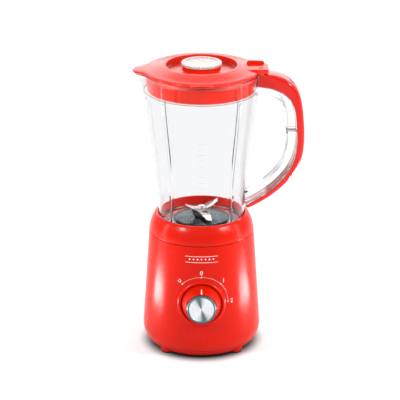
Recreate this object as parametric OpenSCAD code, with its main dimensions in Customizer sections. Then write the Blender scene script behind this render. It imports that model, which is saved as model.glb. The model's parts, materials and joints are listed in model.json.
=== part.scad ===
// Countertop blender: motor base with a rotary speed dial, clear jug with a covered handle,
// four-armed blade set, sealed lid and a measuring cap. Millimetres, +Z up, +X towards the
// handle, -Y towards the speed dial, origin on the blade axis at the plane the feet stand on.

/* [Base] */
// Largest radius of the motor housing, near its foot
base_r = 75; // [74:0.5:76]
// Radius of the housing at the seam under the shoulder
seam_r = 66.6; // [66:0.2:67.2]
// Height of the seam under the shoulder
seam_z = 152; // [151.8:0.1:152.4]
// Height of the base rim
rim_z = 176; // [175:0.5:177]
// Wall thickness of the base mouldings
wall = 2.5; // [2.2:0.1:2.8]
// Distance of each foot from the blade axis
foot_reach = 60; // [59:0.5:61]
// Radius of each foot
foot_r = 10; // [9:0.5:10.5]

/* [Dial] */
// Height of the dial centre on the front of the housing
dial_z = 77.5; // [74:0.5:82]
// Outer radius of the ring round the dial
bezel_r = 30.5; // [30:0.5:32]
// Radius of the knob at its foot
knob_r = 25; // [24:0.2:25.4]
// Radius of the metal face of the knob
face_r = 18.4; // [17.5:0.1:18.6]
// How far the knob stands out of the housing
knob_out = 24; // [22:0.5:26]

/* [Jug] */
// Outer radius of the jug at its mouth
mouth_r = 70.4; // [70:0.1:70.6]
// Outer radius of the jug at its foot
jug_foot_r = 54.4; // [54:0.1:54.6]
// Wall thickness of the jug
glass_t = 2.4; // [2:0.1:2.6]
// Height of the jug rim
jug_top = 360; // [359.5:0.1:360.2]
// Width of the handle
handle_w = 26; // [24:1:28]

/* [Blades] */
// Reach of the raised arms from the blade axis
upper_reach = 24; // [20:1:26]
// Reach of the lowered arms from the blade axis
lower_reach = 29; // [24:1:30]
// Thickness of the blade steel
blade_t = 1.5; // [1.2:0.1:1.8]

/* [Lid and cap] */
// Radius of the lid flange
flange_r = 71.6; // [71.2:0.2:72.4]
// Radius of the recess round the cap
recess_r = 44; // [42:0.5:46]
// Depth of the skirt below the jug rim
skirt_d = 22; // [20:1:24]
// Radius of the cap's disc
cap_r = 25.5; // [25:0.1:26]
// Depth of the cap's cup
cup_d = 25; // [20:1:28]

/* [Hidden] */
$fn = 96;
eps = 0.01;
slip = 0.04;      // radial running clearance of a shaft in its bush
fit_gap = 0.02;   // radial gap of a part pressed or glued in place

red = [0.86, 0.1, 0.06];
lid_red = [0.9, 0.22, 0.15];
clear = [0.85, 0.93, 0.95, 0.35];
steel = [0.72, 0.74, 0.76];
black = [0.1, 0.1, 0.11];
copper = [0.75, 0.42, 0.22];
grey = [0.5, 0.5, 0.52];
white = [0.95, 0.95, 0.95];

// ---- heights of the stack on the blade axis
cover_z = 12;                 // joint between the housing and the bottom cover
under_z = 3;                  // underside of the bottom cover
bulge_z = 26.5;               // height of the housing's largest radius
bulge_arc = 28;               // radius of the curve that turns the housing under
well_z = 148;                 // floor of the jug well
well_r = 55.4;                // inside of the jug well
plate_t = 3;                  // thickness of the well floor
jug_z = 148.5;                // lowest edge of the jug
floor_z = 166.5;              // top of the jug's floor
floor_t = 3;
shaft_r = 3;
blade_z = 177;                // underside of the upper blade's hub
lid_gap = 0.6;                // gap between the jug rim and the lid flange
lid_z = jug_top + lid_gap;    // underside of the lid flange
flange_t = 2.8;
lip_z = lid_z + 9;            // top of the lid's recess lip
recess_z = lid_z + 2.4;       // floor of the lid's recess

taper = atan((base_r - seam_r) / (seam_z - bulge_z));   // slope of the housing wall
bulge_c = [base_r - bulge_arc * cos(taper), bulge_z - bulge_arc * sin(taper)];
shoulder_arc = 48;            // radius of the curve of the shoulder
shoulder_c = [seam_r - shoulder_arc * cos(taper), seam_z - shoulder_arc * sin(taper)];

function arc_pts(c, r, a0, a1, n) =
    [for (i = [0:n]) let (a = a0 + (a1 - a0) * i / n) c + r * [cos(a), sin(a)]];

function bez(p, t) = pow(1 - t, 3) * p[0] + 3 * pow(1 - t, 2) * t * p[1]
    + 3 * (1 - t) * t * t * p[2] + pow(t, 3) * p[3];

function chain(segs, n) = [for (s = segs) for (i = [0:n - 1]) bez(s, i / n),
    segs[len(segs) - 1][3]];

function reverse(list) = [for (i = [len(list) - 1:-1:0]) list[i]];

function unit(v) = v / norm(v);

// A polyline moved sideways by d, to the left of its direction of travel
function beside(pts, d) = [for (i = [0:len(pts) - 1])
    let (a = pts[max(i - 1, 0)], b = pts[min(i + 1, len(pts) - 1)], u = unit(b - a))
    pts[i] + d * [-u[1], u[0]]];

// Radius of the housing's outer cone at height z
function cone_r(z) = base_r - (z - bulge_z) * tan(taper);

// Angle on the bulge arc, and on the shoulder arc, at height z
function bulge_a(z) = asin((z - bulge_c[1]) / bulge_arc);
function shoulder_a(z) = asin((z - shoulder_c[1]) / shoulder_arc);

// Outer radius of the jug at height z: an S-curve between the foot and the mouth
swell_z0 = 165;
swell_z1 = 350;
function swell(z) = let (t = min(max((z - swell_z0) / (swell_z1 - swell_z0), 0), 1))
    t * t * (3 - 2 * t);
function jug_r(z) = jug_foot_r + (mouth_r - jug_foot_r) * swell(z);
function jug_curve(z0, z1, inset) =
    [for (i = [0:18]) let (z = z0 + (z1 - z0) * i / 18) [jug_r(z) - inset, z]];

module turned(pts) { rotate_extrude() polygon(pts); }

module tube(r, bore, z0, z1) {
    difference() {
        translate([0, 0, z0]) cylinder(r = r, h = z1 - z0);
        translate([0, 0, z0 - 1]) cylinder(r = bore, h = z1 - z0 + 2);
    }
}

module four_at(reach, turn = 45) {
    for (i = [0:3]) rotate(turn + 90 * i) translate([reach, 0, 0]) children();
}

// Local frame on the housing wall at the dial's centre: +Z outwards, +Y up the wall
module on_dial() {
    translate([0, -cone_r(dial_z), dial_z]) rotate([90 - taper, 0, 0]) children();
}

module screw(head_r, head_h, shank_r, length) {
    translate([0, 0, -head_h]) difference() {
        cylinder(r = head_r, h = head_h);
        for (a = [0, 90]) rotate(a) translate([-head_r * 0.55, -0.5, -eps])
            cube([head_r * 1.1, 1, head_h * 0.5]);
    }
    cylinder(r = shank_r, h = length);
}

// ================================================================ base mouldings
housing_outer = concat(
    arc_pts(bulge_c, bulge_arc, bulge_a(cover_z + 0.4), taper, 8),
    [[seam_r, seam_z - 0.8], [seam_r - 0.7, seam_z - 0.3]]);
post_r = 5.5;                 // moulded screw posts
post_top = 34;
gland_z = 34;                 // height of the cord inlet
gland_r = 6.6;
dial_hole_r = 27.4;
collar_reach = 57.5;          // posts that hold the shoulder to the housing

module housing_solid() {
    turned(concat([[0, cover_z + 0.4]], housing_outer, [[0, seam_z - 0.3]]));
}

module housing_shell() {
    inner = concat([[seam_r - wall, seam_z - 0.3], [cone_r(bulge_z) - wall, bulge_z]],
        arc_pts(bulge_c, bulge_arc - wall, taper, bulge_a(cover_z + 0.4), 8));
    turned(concat(housing_outer, inner));
}

module base_housing() {
    color(red) difference() {
        union() {
            housing_shell();
            intersection() {
                housing_solid();
                four_at(0) {
                    translate([foot_reach, 0, cover_z + 0.6]) cylinder(r = post_r, h = post_top - cover_z);
                    translate([foot_reach, -1.2, cover_z + 0.6]) cube([14, 2.4, post_top - cover_z]);
                }
            }
            intersection() {
                housing_solid();
                four_at(0, 20) translate([collar_reach - 5, -6, 132]) cube([20, 12, 4]);
            }
        }
        on_dial() translate([0, 0, -20]) cylinder(r = dial_hole_r, h = 40);
        translate([0, base_r - 12, gland_z]) rotate([-90, 0, 0]) cylinder(r = gland_r, h = 24);
        four_at(foot_reach) translate([0, 0, cover_z]) cylinder(r = 1.6, h = 18);
        four_at(collar_reach, 20) translate([0, 0, 128]) cylinder(r = 2.2, h = 12);
    }
}

key_w = 9;                    // keys on the well floor that hold the jug from turning
key_reach = 50;
boss_reach = 42;              // bosses under the well that carry the motor

module collar_shell() {
    inner_arc = reverse(arc_pts(shoulder_c, shoulder_arc - wall, shoulder_a(seam_z + 1.5),
        shoulder_a(rim_z - 8), 8));
    outer = arc_pts(shoulder_c, shoulder_arc, shoulder_a(seam_z + 1), shoulder_a(rim_z - 1), 10);
    edge_r = outer[len(outer) - 1][0];
    spigot_r = seam_r - wall - 0.3;
    turned(concat(
        [[seam_r - 0.7, seam_z + 0.3]], outer,
        [[edge_r - 0.8, rim_z - 0.2], [edge_r - 1.6, rim_z], [well_r + 0.7, rim_z], [well_r, rim_z - 0.8]],
        [[well_r, well_z], [12, well_z], [12, well_z - plate_t], [well_r + 1.6, well_z - plate_t]],
        [[well_r + 1.6, rim_z - 7]], inner_arc,
        [[spigot_r - 1.6, seam_z + 1], [spigot_r - 1.6, seam_z - 5], [spigot_r, seam_z - 5],
         [spigot_r, seam_z + 0.3]]));
}

module top_collar() {
    color(red) difference() {
        union() {
            collar_shell();
            tube(15.5, 13.5, well_z - eps, well_z + 3);
            four_at(key_reach) translate([-3.5, -key_w / 2, well_z - eps]) cube([7, key_w, 5]);
            four_at(boss_reach) translate([0, 0, 126]) cylinder(r = 5.5, h = well_z - 127);
            difference() {
                four_at(collar_reach, 20) translate([0, 0, 136.3]) cylinder(r = 4, h = 26);
                translate([0, 0, well_z - 1]) cylinder(r = well_r + 0.8, h = 30);
            }
        }
        four_at(boss_reach) translate([0, 0, 125]) cylinder(r = 2, h = 17);
        four_at(collar_reach, 20) translate([0, 0, 135]) cylinder(r = 1.7, h = 18);
        difference() {
            cylinder(r = 80, h = 170);
            translate([0, 0, -1]) cylinder(r = 90, h = 137);
            translate([0, 0, 130]) cylinder(r = seam_r - wall - 0.3, h = 22.3);
            translate([0, 0, 152.2]) cylinder(r = 78, h = 20);
        }
    }
}

cover_foot_r = 66;            // radius of the bottom cover's flat underside

module bottom_cover() {
    side = concat([[0, under_z], [cover_foot_r - 1.5, under_z]],
        arc_pts(bulge_c, bulge_arc, bulge_a(under_z + 0.6), bulge_a(cover_z - 0.4), 6));
    rim = side[len(side) - 1][0];
    vent_l = 26;
    color(red) difference() {
        union() {
            turned(concat(side, [[rim - 0.7, cover_z], [rim - wall - 0.4, cover_z],
                [cover_foot_r - wall - 3, under_z + wall], [0, under_z + wall]]));
            four_at(foot_reach) translate([0, 0, 2]) cylinder(r1 = foot_r - 0.4, r2 = foot_r, h = 9.4);
        }
        four_at(foot_reach) translate([0, 0, 6]) cylinder(r = 2.1, h = 12);
        four_at(foot_reach) translate([0, 0, -1]) cylinder(r = 4.6, h = 8);
        for (x = [-24:6:24]) translate([x - 1.5, -vent_l / 2, 0]) cube([3, vent_l, 10]);
    }
}

module rubber_feet() {
    color(black) four_at(foot_reach) tube(foot_r - 1, 5, 0, 2);
}

module bottom_screws() {
    color(steel) four_at(foot_reach) translate([0, 0, 7]) screw(4, 2.2, 1.55, 20);
}

module collar_screws() {
    color(steel) four_at(collar_reach, 20) translate([0, 0, 132]) screw(3.6, 2.2, 1.65, 19);
}

// ================================================================ dial
well_d = 8.5;                 // depth of the well behind the knob
floor_d = 6.5;                // depth of that well's floor
bush_r = 5;                   // threaded bush of the switch

module dial_bezel() {
    bore = knob_r + 0.8;
    color(red) difference() {
        on_dial() turned([[bush_r + 0.2, -well_d], [bore + 1.4, -well_d], [bore + 1.4, -7],
            [bezel_r, -7], [bezel_r, 0.2], [bezel_r - 0.6, 1.6], [bezel_r - 2, 2.5], [bore + 0.8, 2.8],
            [bore, 2.2], [bore, -floor_d], [bush_r + 0.2, -floor_d]]);
        difference() {
            housing_solid();
            on_dial() translate([0, 0, -30]) cylinder(r = dial_hole_r - 0.2, h = 60);
        }
    }
}

switch_w = 30;
module rotary_switch() {
    color(grey) on_dial() difference() {
        union() {
            translate([-switch_w / 2, -switch_w / 2, -29]) cube([switch_w, switch_w, 29 - well_d]);
            translate([0, 0, -well_d - eps]) cylinder(r = bush_r, h = 4.9);
        }
        translate([0, 0, -27]) cylinder(r = shaft_r + slip, h = 40);
    }
}

module switch_nut() {
    color(steel) on_dial() difference() {
        translate([0, 0, -floor_d]) cylinder(r = 7.4, h = 2.4, $fn = 6);
        translate([0, 0, -floor_d - 1]) cylinder(r = bush_r + fit_gap, h = 5);
    }
}

module switch_terminals() {
    color("goldenrod") on_dial() for (x = [-9, -3, 3, 9])
        translate([x - 1.6, -switch_w / 2 - 7, -24]) cube([3.2, 7, 0.8]);
}

cone_top = knob_out - 2.6;
function knob_cone_r(z) = knob_r - 0.6 - (z - 2.5) * (knob_r - face_r - 1.4) / (cone_top - 2.5);

module knob_body() {
    t = 2;
    color(red) on_dial() difference() {
        union() {
            turned([[knob_r, -5.6], [knob_r, 1.6], [knob_cone_r(2.5), 2.5],
                [knob_cone_r(cone_top), cone_top], [knob_cone_r(cone_top) - 0.4, cone_top + 0.3],
                [face_r + 0.1, cone_top + 0.3], [face_r + 0.1, cone_top - 0.4], [0, cone_top - 0.4],
                [0, cone_top - 2.4], [knob_cone_r(cone_top) - t - 1, cone_top - 2.4],
                [knob_r - t - 0.4, 2.5], [knob_r - t, -5.6]]);
            translate([0, 0, -3.4]) cylinder(r = 5.6, h = cone_top + 1.4);
            for (a = [0:60:300]) rotate(a) translate([5, -0.8, -1]) cube([12, 1.6, cone_top - 1]);
        }
        translate([0, 0, -4]) cylinder(r = shaft_r + fit_gap, h = 18);
        rotate(90) translate([knob_cone_r(cone_top) - 0.6, -0.9, cone_top - 0.9]) mirror([0, 0, 1])
            pointer_bar(0.1);
    }
}

// The bar let into the knob's cone, drawn from the rim of the face down the slope
module pointer_bar(extra) {
    rotate([90, 0, 0]) translate([0, 0, -1.8 - extra]) linear_extrude(1.8 + 2 * extra)
        polygon([[0, 0], [0, 1.2 + extra], [1.9, 9.4 + extra], [3.1 + extra, 9.4 + extra],
            [1.2 + extra, -0.4]]);
}

module knob_face() {
    ring = 1.9;
    color(steel) on_dial() turned([[0, cone_top - 0.4], [face_r, cone_top - 0.4], [face_r, knob_out - 0.9],
        [face_r - 0.7, knob_out], [face_r - ring, knob_out - 0.2], [face_r - ring - 0.4, knob_out - 0.7],
        [0, knob_out - 0.5]]);
}

module knob_pointer() {
    color(white) on_dial() intersection() {
        rotate(90) translate([knob_cone_r(cone_top) - 0.6, -0.9, cone_top - 0.9]) mirror([0, 0, 1])
            pointer_bar(0);
        turned([[0, 0], [knob_cone_r(0) + 0.3, 0], [knob_cone_r(cone_top) + 0.3, cone_top], [0, cone_top]]);
    }
}

module knob_shaft() {
    color(steel) on_dial() translate([0, 0, -25]) cylinder(r = shaft_r, h = 38);
}

// ================================================================ cord inlet
module cord_gland() {
    color(black) translate([0, 0, gland_z]) rotate([-90, 0, 0]) difference() {
        union() {
            translate([0, 0, 64]) cylinder(r = gland_r - 0.1, h = 13);
            translate([0, 0, 75.2]) cylinder(r = 9.5, h = 2.4);
            translate([0, 0, 63]) cylinder(r = 8, h = 4);
        }
        translate([0, 0, 60]) cylinder(r = 3.6, h = 20);
    }
}

// ================================================================ motor
stack_z0 = 62;
stack_z1 = 104;
stator_r = 40;
bore_r = 20;
bolt_reach = 36;
window_in = 25;
window_out = 32;

module stator_core() {
    color(steel) difference() {
        tube(stator_r, bore_r, stack_z0, stack_z1);
        for (a = [0, 180]) rotate(a) translate([0, 0, stack_z0 - 1]) {
            rotate([0, 0, -72]) rotate_extrude(angle = 30) translate([window_in, 0])
                square([window_out - window_in, 44]);
            rotate([0, 0, 42]) rotate_extrude(angle = 30) translate([window_in, 0])
                square([window_out - window_in, 44]);
        }
        for (s = [-1, 1]) translate([0, s * bolt_reach, stack_z0 - 1]) cylinder(r = 2.2, h = 44);
    }
}

module field_coils() {
    inset = 0.4;
    r0 = window_in + inset;
    r1 = window_out - inset;
    low = stack_z0 - 6.4;
    high = stack_z1 + 6.4;
    color(copper) for (a = [0, 180]) rotate(a) difference() {
        rotate([0, 0, -70]) rotate_extrude(angle = 140) translate([r0, low]) square([r1 - r0, high - low]);
        rotate([0, 0, -44.5]) rotate_extrude(angle = 89) translate([r0 - 2, stack_z0 - inset])
            square([r1 - r0 + 4, stack_z1 - stack_z0 + 2 * inset]);
    }
}

module bracket(z, up) {
    flip = up ? 0 : 1;
    translate([0, 0, z]) mirror([0, 0, flip]) difference() {
        union() {
            cylinder(r = 10.5, h = 9);
            translate([-8, -41, 0]) cube([16, 82, 2.5]);
            if (up) for (a = [45, 135]) rotate(a) translate([-boss_reach - 7, -7, 0])
                cube([2 * boss_reach + 14, 14, 2.5]);
        }
        translate([0, 0, -1]) cylinder(r = 7, h = 20);
        for (s = [-1, 1]) translate([0, s * bolt_reach, -1]) cylinder(r = 2.2, h = 5);
        if (up) four_at(boss_reach) translate([0, 0, -1]) cylinder(r = 2.4, h = 5);
    }
}

upper_z = 112.4;
lower_z = 53.6;
module upper_bracket() { color(steel) bracket(upper_z, true); }
module lower_bracket() { color(steel) bracket(lower_z - 14, false); }

module upper_bearing() {
    color("goldenrod") tube(7 - fit_gap, shaft_r + slip, upper_z + 0.5, upper_z + 8.5);
}

module lower_bearing() {
    color("goldenrod") tube(7 - fit_gap, shaft_r + slip, lower_z - 22.5, lower_z - 14.5);
}

comm_z0 = 42.5;
comm_z1 = 55;
comm_r = 10.5;
module brush_holders() {
    color("goldenrod") for (a = [0, 180]) rotate(a) difference() {
        translate([14, -4.5, 44.5]) cube([20, 9, 9]);
        translate([13, -3.3, 45.7]) cube([22, 6.6, 6.6]);
    }
}

module carbon_brushes() {
    color(black) for (a = [0, 180]) rotate(a) translate([comm_r + 0.35, -3.2, 45.8])
        cube([14, 6.4, 6.4]);
}

module stator_bolts() {
    color(steel) for (s = [-1, 1]) translate([0, s * bolt_reach, 0]) {
        translate([0, 0, 36]) cylinder(r = 2, h = 82);
        translate([0, 0, 34.6]) cylinder(r = 3.8, h = 2.4);
        translate([0, 0, 115.2]) cylinder(r = 4, h = 3.2, $fn = 6);
    }
}

module motor_grommets() {
    color(black) four_at(boss_reach) tube(6.5, 2.5, 115.2, 125.8);
}

module motor_screws() {
    color(steel) four_at(boss_reach) translate([0, 0, 112.2]) screw(4.2, 2.6, 1.95, 28);
}

module well_seal() {
    color(black) tube(12 - fit_gap, shaft_r + 0.35, well_z - 3, well_z + 1);
}

// ---- rotor
module motor_shaft() {
    color(steel) translate([0, 0, 17]) cylinder(r = shaft_r, h = 135.5);
}

module armature_core() {
    slots = 12;
    color(steel) difference() {
        tube(bore_r - 0.8, shaft_r + fit_gap, stack_z0, stack_z1);
        for (i = [0:slots - 1]) rotate(i * 360 / slots) translate([14, -1.2, stack_z0 - 1])
            cube([8, 2.4, 44]);
    }
}

module armature_windings() {
    color(copper) {
        tube(16.5, shaft_r + fit_gap, stack_z1 + 0.1, stack_z1 + 6);
        tube(16.5, shaft_r + fit_gap, comm_z1 + 0.4, stack_z0 - 0.1);
    }
}

module commutator() {
    bars = 24;
    color(copper) difference() {
        tube(comm_r, shaft_r + fit_gap, comm_z0, comm_z1);
        for (i = [0:bars - 1]) rotate(i * 360 / bars) translate([comm_r - 0.8, -0.25, comm_z0 - 1])
            cube([2, 0.5, 20]);
    }
}

module cooling_fan() {
    vanes = 9;
    color(black) difference() {
        union() {
            translate([0, 0, 17.5]) cylinder(r = 6, h = 11);
            translate([0, 0, 26.6]) cylinder(r = 33, h = 1.8);
            for (i = [0:vanes - 1]) rotate(i * 360 / vanes) translate([5, -0.8, 18])
                cube([27, 1.6, 9]);
        }
        translate([0, 0, 10]) cylinder(r = shaft_r + fit_gap, h = 30);
    }
}

// ---- the dog clutch between the motor and the blades
dog_z = 153.6;
dog_h = 4.4;
dogs = 3;
module dog_ring(z, turn) {
    span = 42;
    for (i = [0:dogs - 1]) rotate(turn + i * 360 / dogs - span / 2) rotate_extrude(angle = span)
        translate([8, z]) square([7.5, dog_h]);
}

module drive_coupler() {
    color(black) difference() {
        union() {
            translate([0, 0, 151.6]) cylinder(r = 19, h = 2);
            tube(19, 17, 149.2, 152);
            translate([0, 0, 149.4]) cylinder(r = 7, h = 3);
            dog_ring(dog_z - eps, 0);
        }
        translate([0, 0, 148]) cylinder(r = shaft_r + fit_gap, h = 5);
    }
}

module driven_coupler() {
    color(black) difference() {
        union() {
            translate([0, 0, dog_z + dog_h + 0.6]) cylinder(r = 16.5, h = 2);
            dog_ring(dog_z + 0.6 + eps, 60);
        }
        translate([0, 0, 158]) cylinder(r = shaft_r + fit_gap, h = 8);
    }
}

// ================================================================ jug
spout_d = 67;                 // centre of the spout's cone
spout_r = 16;
spout_z = 322;                // where the spout leaves the wall
rib_in = 6.5;                 // how far the ribs stand into the jug
rib_top = 320;

outer_path = [[[60, 360.5], [103, 360.5], [123, 352], [126.8, 310]],
    [[126.8, 310], [128.6, 292], [131, 264], [124.8, 246]],
    [[124.8, 246], [115.9, 220], [88, 196], [58.5, 182.6]]];
seam_path = [[[60, 344.5], [98, 344.5], [115.5, 333], [118, 304]],
    [[118, 304], [119.3, 289], [121.9, 266], [116.5, 248]],
    [[116.5, 248], [108.7, 222], [84.5, 201], [55.5, 186.6]]];
grip_path = [[[60, 332], [90, 332], [103.5, 330], [105, 303]],
    [[105, 303], [105.9, 288], [106.8, 265], [101.4, 250]],
    [[101.4, 250], [94.2, 230], [73, 215.2], [50, 203]]];
path_n = 10;
cover_w = 2.4;                // wall of the handle cover
screw_z = 284;                // height of the screw in the handle

module jug_outer() {
    turned(concat([[0, jug_z], [jug_foot_r - 0.8, jug_z], [jug_foot_r, jug_z + 0.8]],
        jug_curve(swell_z0, swell_z1, 0),
        [[mouth_r, jug_top - 3.4], [mouth_r + 0.6, jug_top - 2.8], [mouth_r + 0.6, jug_top - 0.5],
         [mouth_r + 0.1, jug_top], [0, jug_top]]));
}

module jug_inside(inset) {
    foot = jug_foot_r - inset;
    turned(concat([[0, floor_z], [foot - 3, floor_z], [foot - 0.8, floor_z + 1], [foot, floor_z + 3.2]],
        jug_curve(floor_z + 5, swell_z1, inset),
        [[mouth_r - inset, jug_top + 1], [0, jug_top + 1]]));
}

module spout(r0, r1, z0) {
    translate([-spout_d, 0, z0]) cylinder(r1 = r0, r2 = r1, h = jug_top - z0 + eps);
}

module band(path_a, path_b, w) {
    rotate([90, 0, 0]) translate([0, 0, -w / 2]) linear_extrude(w)
        polygon(concat(path_a, reverse(path_b)));
}

module clear_handle() {
    seam_line = chain(seam_path, path_n);
    band(seam_line, chain(grip_path, path_n), handle_w - 2);
    band(beside(seam_line, 2), seam_line, handle_w - 2 * cover_w - 0.6);
}

module jug_body() {
    color(clear) difference() {
        union() {
            jug_outer();
            spout(2, spout_r, spout_z);
        }
        difference() {
            union() {
                jug_inside(glass_t);
                difference() {
                    spout(2 - glass_t + 0.5, spout_r - glass_t, spout_z + 3);
                    translate([-20, -30, 300]) cube([60, 60, 80]);
                }
                translate([0, 0, jug_top - 2]) intersection() {
                    translate([-spout_d, 0, 0]) cylinder(r = spout_r - glass_t, h = 5);
                    translate([-90, -20, 0]) cube([40, 40, 5]);
                }
            }
            intersection() {
                difference() {
                    jug_outer();
                    jug_inside(rib_in);
                }
                four_at(0) translate([40, -1.6, floor_z - 1]) cube([40, 3.2, rib_top - floor_z]);
            }
        }
        translate([0, 0, floor_z - 10]) cylinder(r = 30, h = 20);
        translate([0, 0, jug_z - 1]) cylinder(r = jug_foot_r - glass_t, h = floor_z - floor_t - jug_z + 1);
        four_at(key_reach) translate([-6, -key_w / 2 - 0.8, jug_z - 1]) cube([20, key_w + 1.6, 7]);
    }
}

// The clear channel of the handle, welded to the jug's wall along its whole end
module jug_handle() {
    color(clear) difference() {
        clear_handle();
        turned(concat([[0, jug_z], [jug_foot_r + fit_gap, jug_z]],
            jug_curve(swell_z0, swell_z1, -fit_gap), [[mouth_r + fit_gap, jug_top], [0, jug_top]]));
        translate([90, 0, screw_z]) rotate([0, 90, 0]) cylinder(r = 1.9, h = 40);
        translate([80, 0, screw_z]) rotate([0, 90, 0]) cylinder(r = 3.9, h = 28.6);
    }
}
module handle_cover() {
    outer_line = chain(outer_path, path_n);
    seam_line = chain(seam_path, path_n);
    color(red) difference() {
        band(outer_line, beside(seam_line, 0.02), handle_w);
        band(beside(outer_line, -cover_w), beside(seam_line, -1), handle_w - 2 * cover_w);
        translate([52, cover_w - handle_w / 2, 184.2]) cube([6, handle_w - 2 * cover_w, 4]);
        turned(concat([[0, jug_z], [jug_foot_r + 0.5, jug_z]], jug_curve(swell_z0, swell_z1, -0.5),
            [[mouth_r + 1.2, jug_top - 5], [mouth_r + 1.2, jug_top + 4], [0, jug_top + 4]]));
    }
    color(red) difference() {
        translate([122.4, 0, screw_z]) rotate([0, 90, 0]) cylinder(r = 4, h = 4.6);
        translate([118, 0, screw_z]) rotate([0, 90, 0]) cylinder(r = 1.5, h = 7);
    }
}

module handle_screws() {
    color(steel) translate([108.6, 0, screw_z]) rotate([0, 90, 0]) screw(3.6, 2.2, 1.45, 15);
}

// ---- blade carrier in the jug's floor
module bearing_holder() {
    color(black) turned([[6, 161.4], [10.5, 161.4], [10.5, 164], [26.4, 164], [26.4, 156], [29.6, 156],
        [29.6, floor_z], [9.7, floor_z], [9.4, 172.5], [6, 172.5]]);
}

module lock_ring() {
    color(black) difference() {
        tube(40, 29.6 + fit_gap, 157, floor_z - floor_t - 0.05);
        for (a = [0:60:300]) rotate(a) translate([37, -2.5, 156]) cube([6, 5, 5]);
    }
}

module holder_gasket() { color(grey) tube(32.8, 30.2, floor_z + 0.05, floor_z + 1); }

module floor_disc() {
    color(steel) turned([[9.9, floor_z + 2.9], [20, floor_z + 1.9], [33, floor_z + 1.05], [35, floor_z + 0.4],
        [35, floor_z + 1.4], [33.4, floor_z + 2.2], [20, floor_z + 3.1], [9.9, floor_z + 4.1]]);
}

module blade_bush() { color("goldenrod") tube(6 - fit_gap, shaft_r + slip, 161.6, 171); }

module shaft_seal() { color(black) tube(6 - fit_gap, shaft_r + slip, 171.1, 172.5); }

// ---- blades
module blade_shaft() {
    color(steel) translate([0, 0, 158.4]) cylinder(r = shaft_r, h = 24);
}

// One arm: flat at the root, bent by lift degrees, tapering to a blunt point
module arm(reach, lift, root_w, tip_w) {
    bend = 7;
    side = root_w / 2 - 0.1;
    length = reach - bend;
    translate([bend, 0, lift > 0 ? 0.25 : -0.15]) rotate([0, -lift, 0]) linear_extrude(blade_t)
        polygon([[-0.4, -side], [length * 0.85, -side + 1.4], [length, tip_w / 2],
            [length * 0.6, side - 0.7], [-0.4, side]]);
}

module blade(z, turn, reach, lift) {
    root_w = 12;
    translate([0, 0, z]) rotate(turn) difference() {
        union() {
            cylinder(r = 8, h = blade_t);
            for (a = [0, 180]) rotate(a) arm(reach / cos(lift), lift, root_w, 3);
            translate([-7.5, -root_w / 2, 0]) cube([15, root_w, blade_t]);
        }
        translate([0, 0, -2]) cylinder(r = shaft_r + fit_gap, h = 6);
    }
}

upper_turn = 27;
lower_turn = -67;
module lower_blade() { color(steel) blade(blade_z - blade_t - 0.05, lower_turn, lower_reach, -12); }
module upper_blade() { color(steel) blade(blade_z, upper_turn, upper_reach, 32); }
module blade_washer() { color(steel) tube(6.5, shaft_r + fit_gap, 173.2, blade_z - blade_t - 0.1); }
module blade_nut() {
    color(steel) difference() {
        union() {
            translate([0, 0, blade_z + blade_t + 0.05]) cylinder(r = 6, h = 3, $fn = 6);
            translate([0, 0, blade_z + blade_t + 2]) cylinder(r1 = 5, r2 = 3.6, h = 3);
        }
        translate([0, 0, blade_z - 2]) cylinder(r = shaft_r + fit_gap, h = 7.4);
    }
}

// ================================================================ lid
lid_t = 2.3;
skirt_r = 66.4;
collar_out = 23.6;
collar_in = 20.7;
flap_d = 71;                  // flap over the spout
flap_r = 14;
tab_x = 83;                   // tab over the handle
tab_w = 30;
tab_top = 366.7;

// The flap's outline: a rounded tip whose sides run back into the flange
module flap_outline() {
    a = acos((flange_r - flap_r) / flap_d);
    root = (flange_r - 3) * [-cos(a + 10), sin(a + 10)];
    polygon(concat(arc_pts([-flap_d, 0], flap_r, 180 - a, 180 + a, 12),
        [[root[0], -root[1]], root]));
}

module tab_outline() {
    round_r = 6;
    polygon(concat([[52, -tab_w / 2]], [[tab_x, -tab_w / 2]],
        arc_pts([tab_x - round_r, tab_w / 2 - round_r], round_r, 0, 90, 5), [[52, tab_w / 2]]));
}

module lid_body() {
    color(lid_red) difference() {
        union() {
            turned([[flange_r - 0.6, lid_z], [flange_r, lid_z + 0.6], [flange_r, lid_z + flange_t - 0.8],
                [flange_r - 0.8, lid_z + flange_t], [recess_r + 1.6, lip_z - 0.4], [recess_r + 0.7, lip_z],
                [recess_r, lip_z - 0.6], [recess_r - 0.3, recess_z], [collar_out, recess_z],
                [collar_out - 0.2, lip_z - 0.8], [collar_out - 0.8, lip_z - 0.2],
                [collar_in + 0.6, lip_z - 0.2],
                [collar_in, lip_z - 0.8], [collar_in, lid_z - 4], [collar_out, lid_z - 4],
                [collar_out, recess_z - lid_t], [recess_r + lid_t - 0.5, recess_z - lid_t],
                [recess_r + lid_t, lip_z - lid_t - 0.6], [skirt_r - lid_t, lid_z + flange_t - 0.9],
                [skirt_r - lid_t, jug_top - skirt_d], [skirt_r, jug_top - skirt_d], [skirt_r, lid_z]]);
            translate([0, 0, lid_z + 0.3]) linear_extrude(flange_t - 0.7) flap_outline();
            difference() {
                translate([0, 0, lid_z + 0.5]) linear_extrude(tab_top - lid_z - 0.5) tab_outline();
                translate([0, 0, lid_z - 1]) cylinder(r = skirt_r - 1, h = 4);
            }
            translate([56, tab_w / 2 - 2.8, tab_top - 1]) cube([20, 2.4, 5.2]);
            for (a = [-90, 90]) rotate(a) translate([flange_r - 4, -14, lid_z + 0.2])
                cube([5.6, 28, flange_t - 0.5]);
        }
        for (a = [-90, 90]) rotate(a) translate([flange_r + 0.6, -7.5, lid_z + 0.8]) cube([3, 15, 1.2]);
        translate([flange_r + 2, -tab_w / 2 + 2.4, lid_z - 1]) cube([tab_x - flange_r - 5, tab_w - 6.4, 4]);
        translate([71, -9, tab_top - 1.6]) cube([6, 4, 3]);
    }
}

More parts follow.
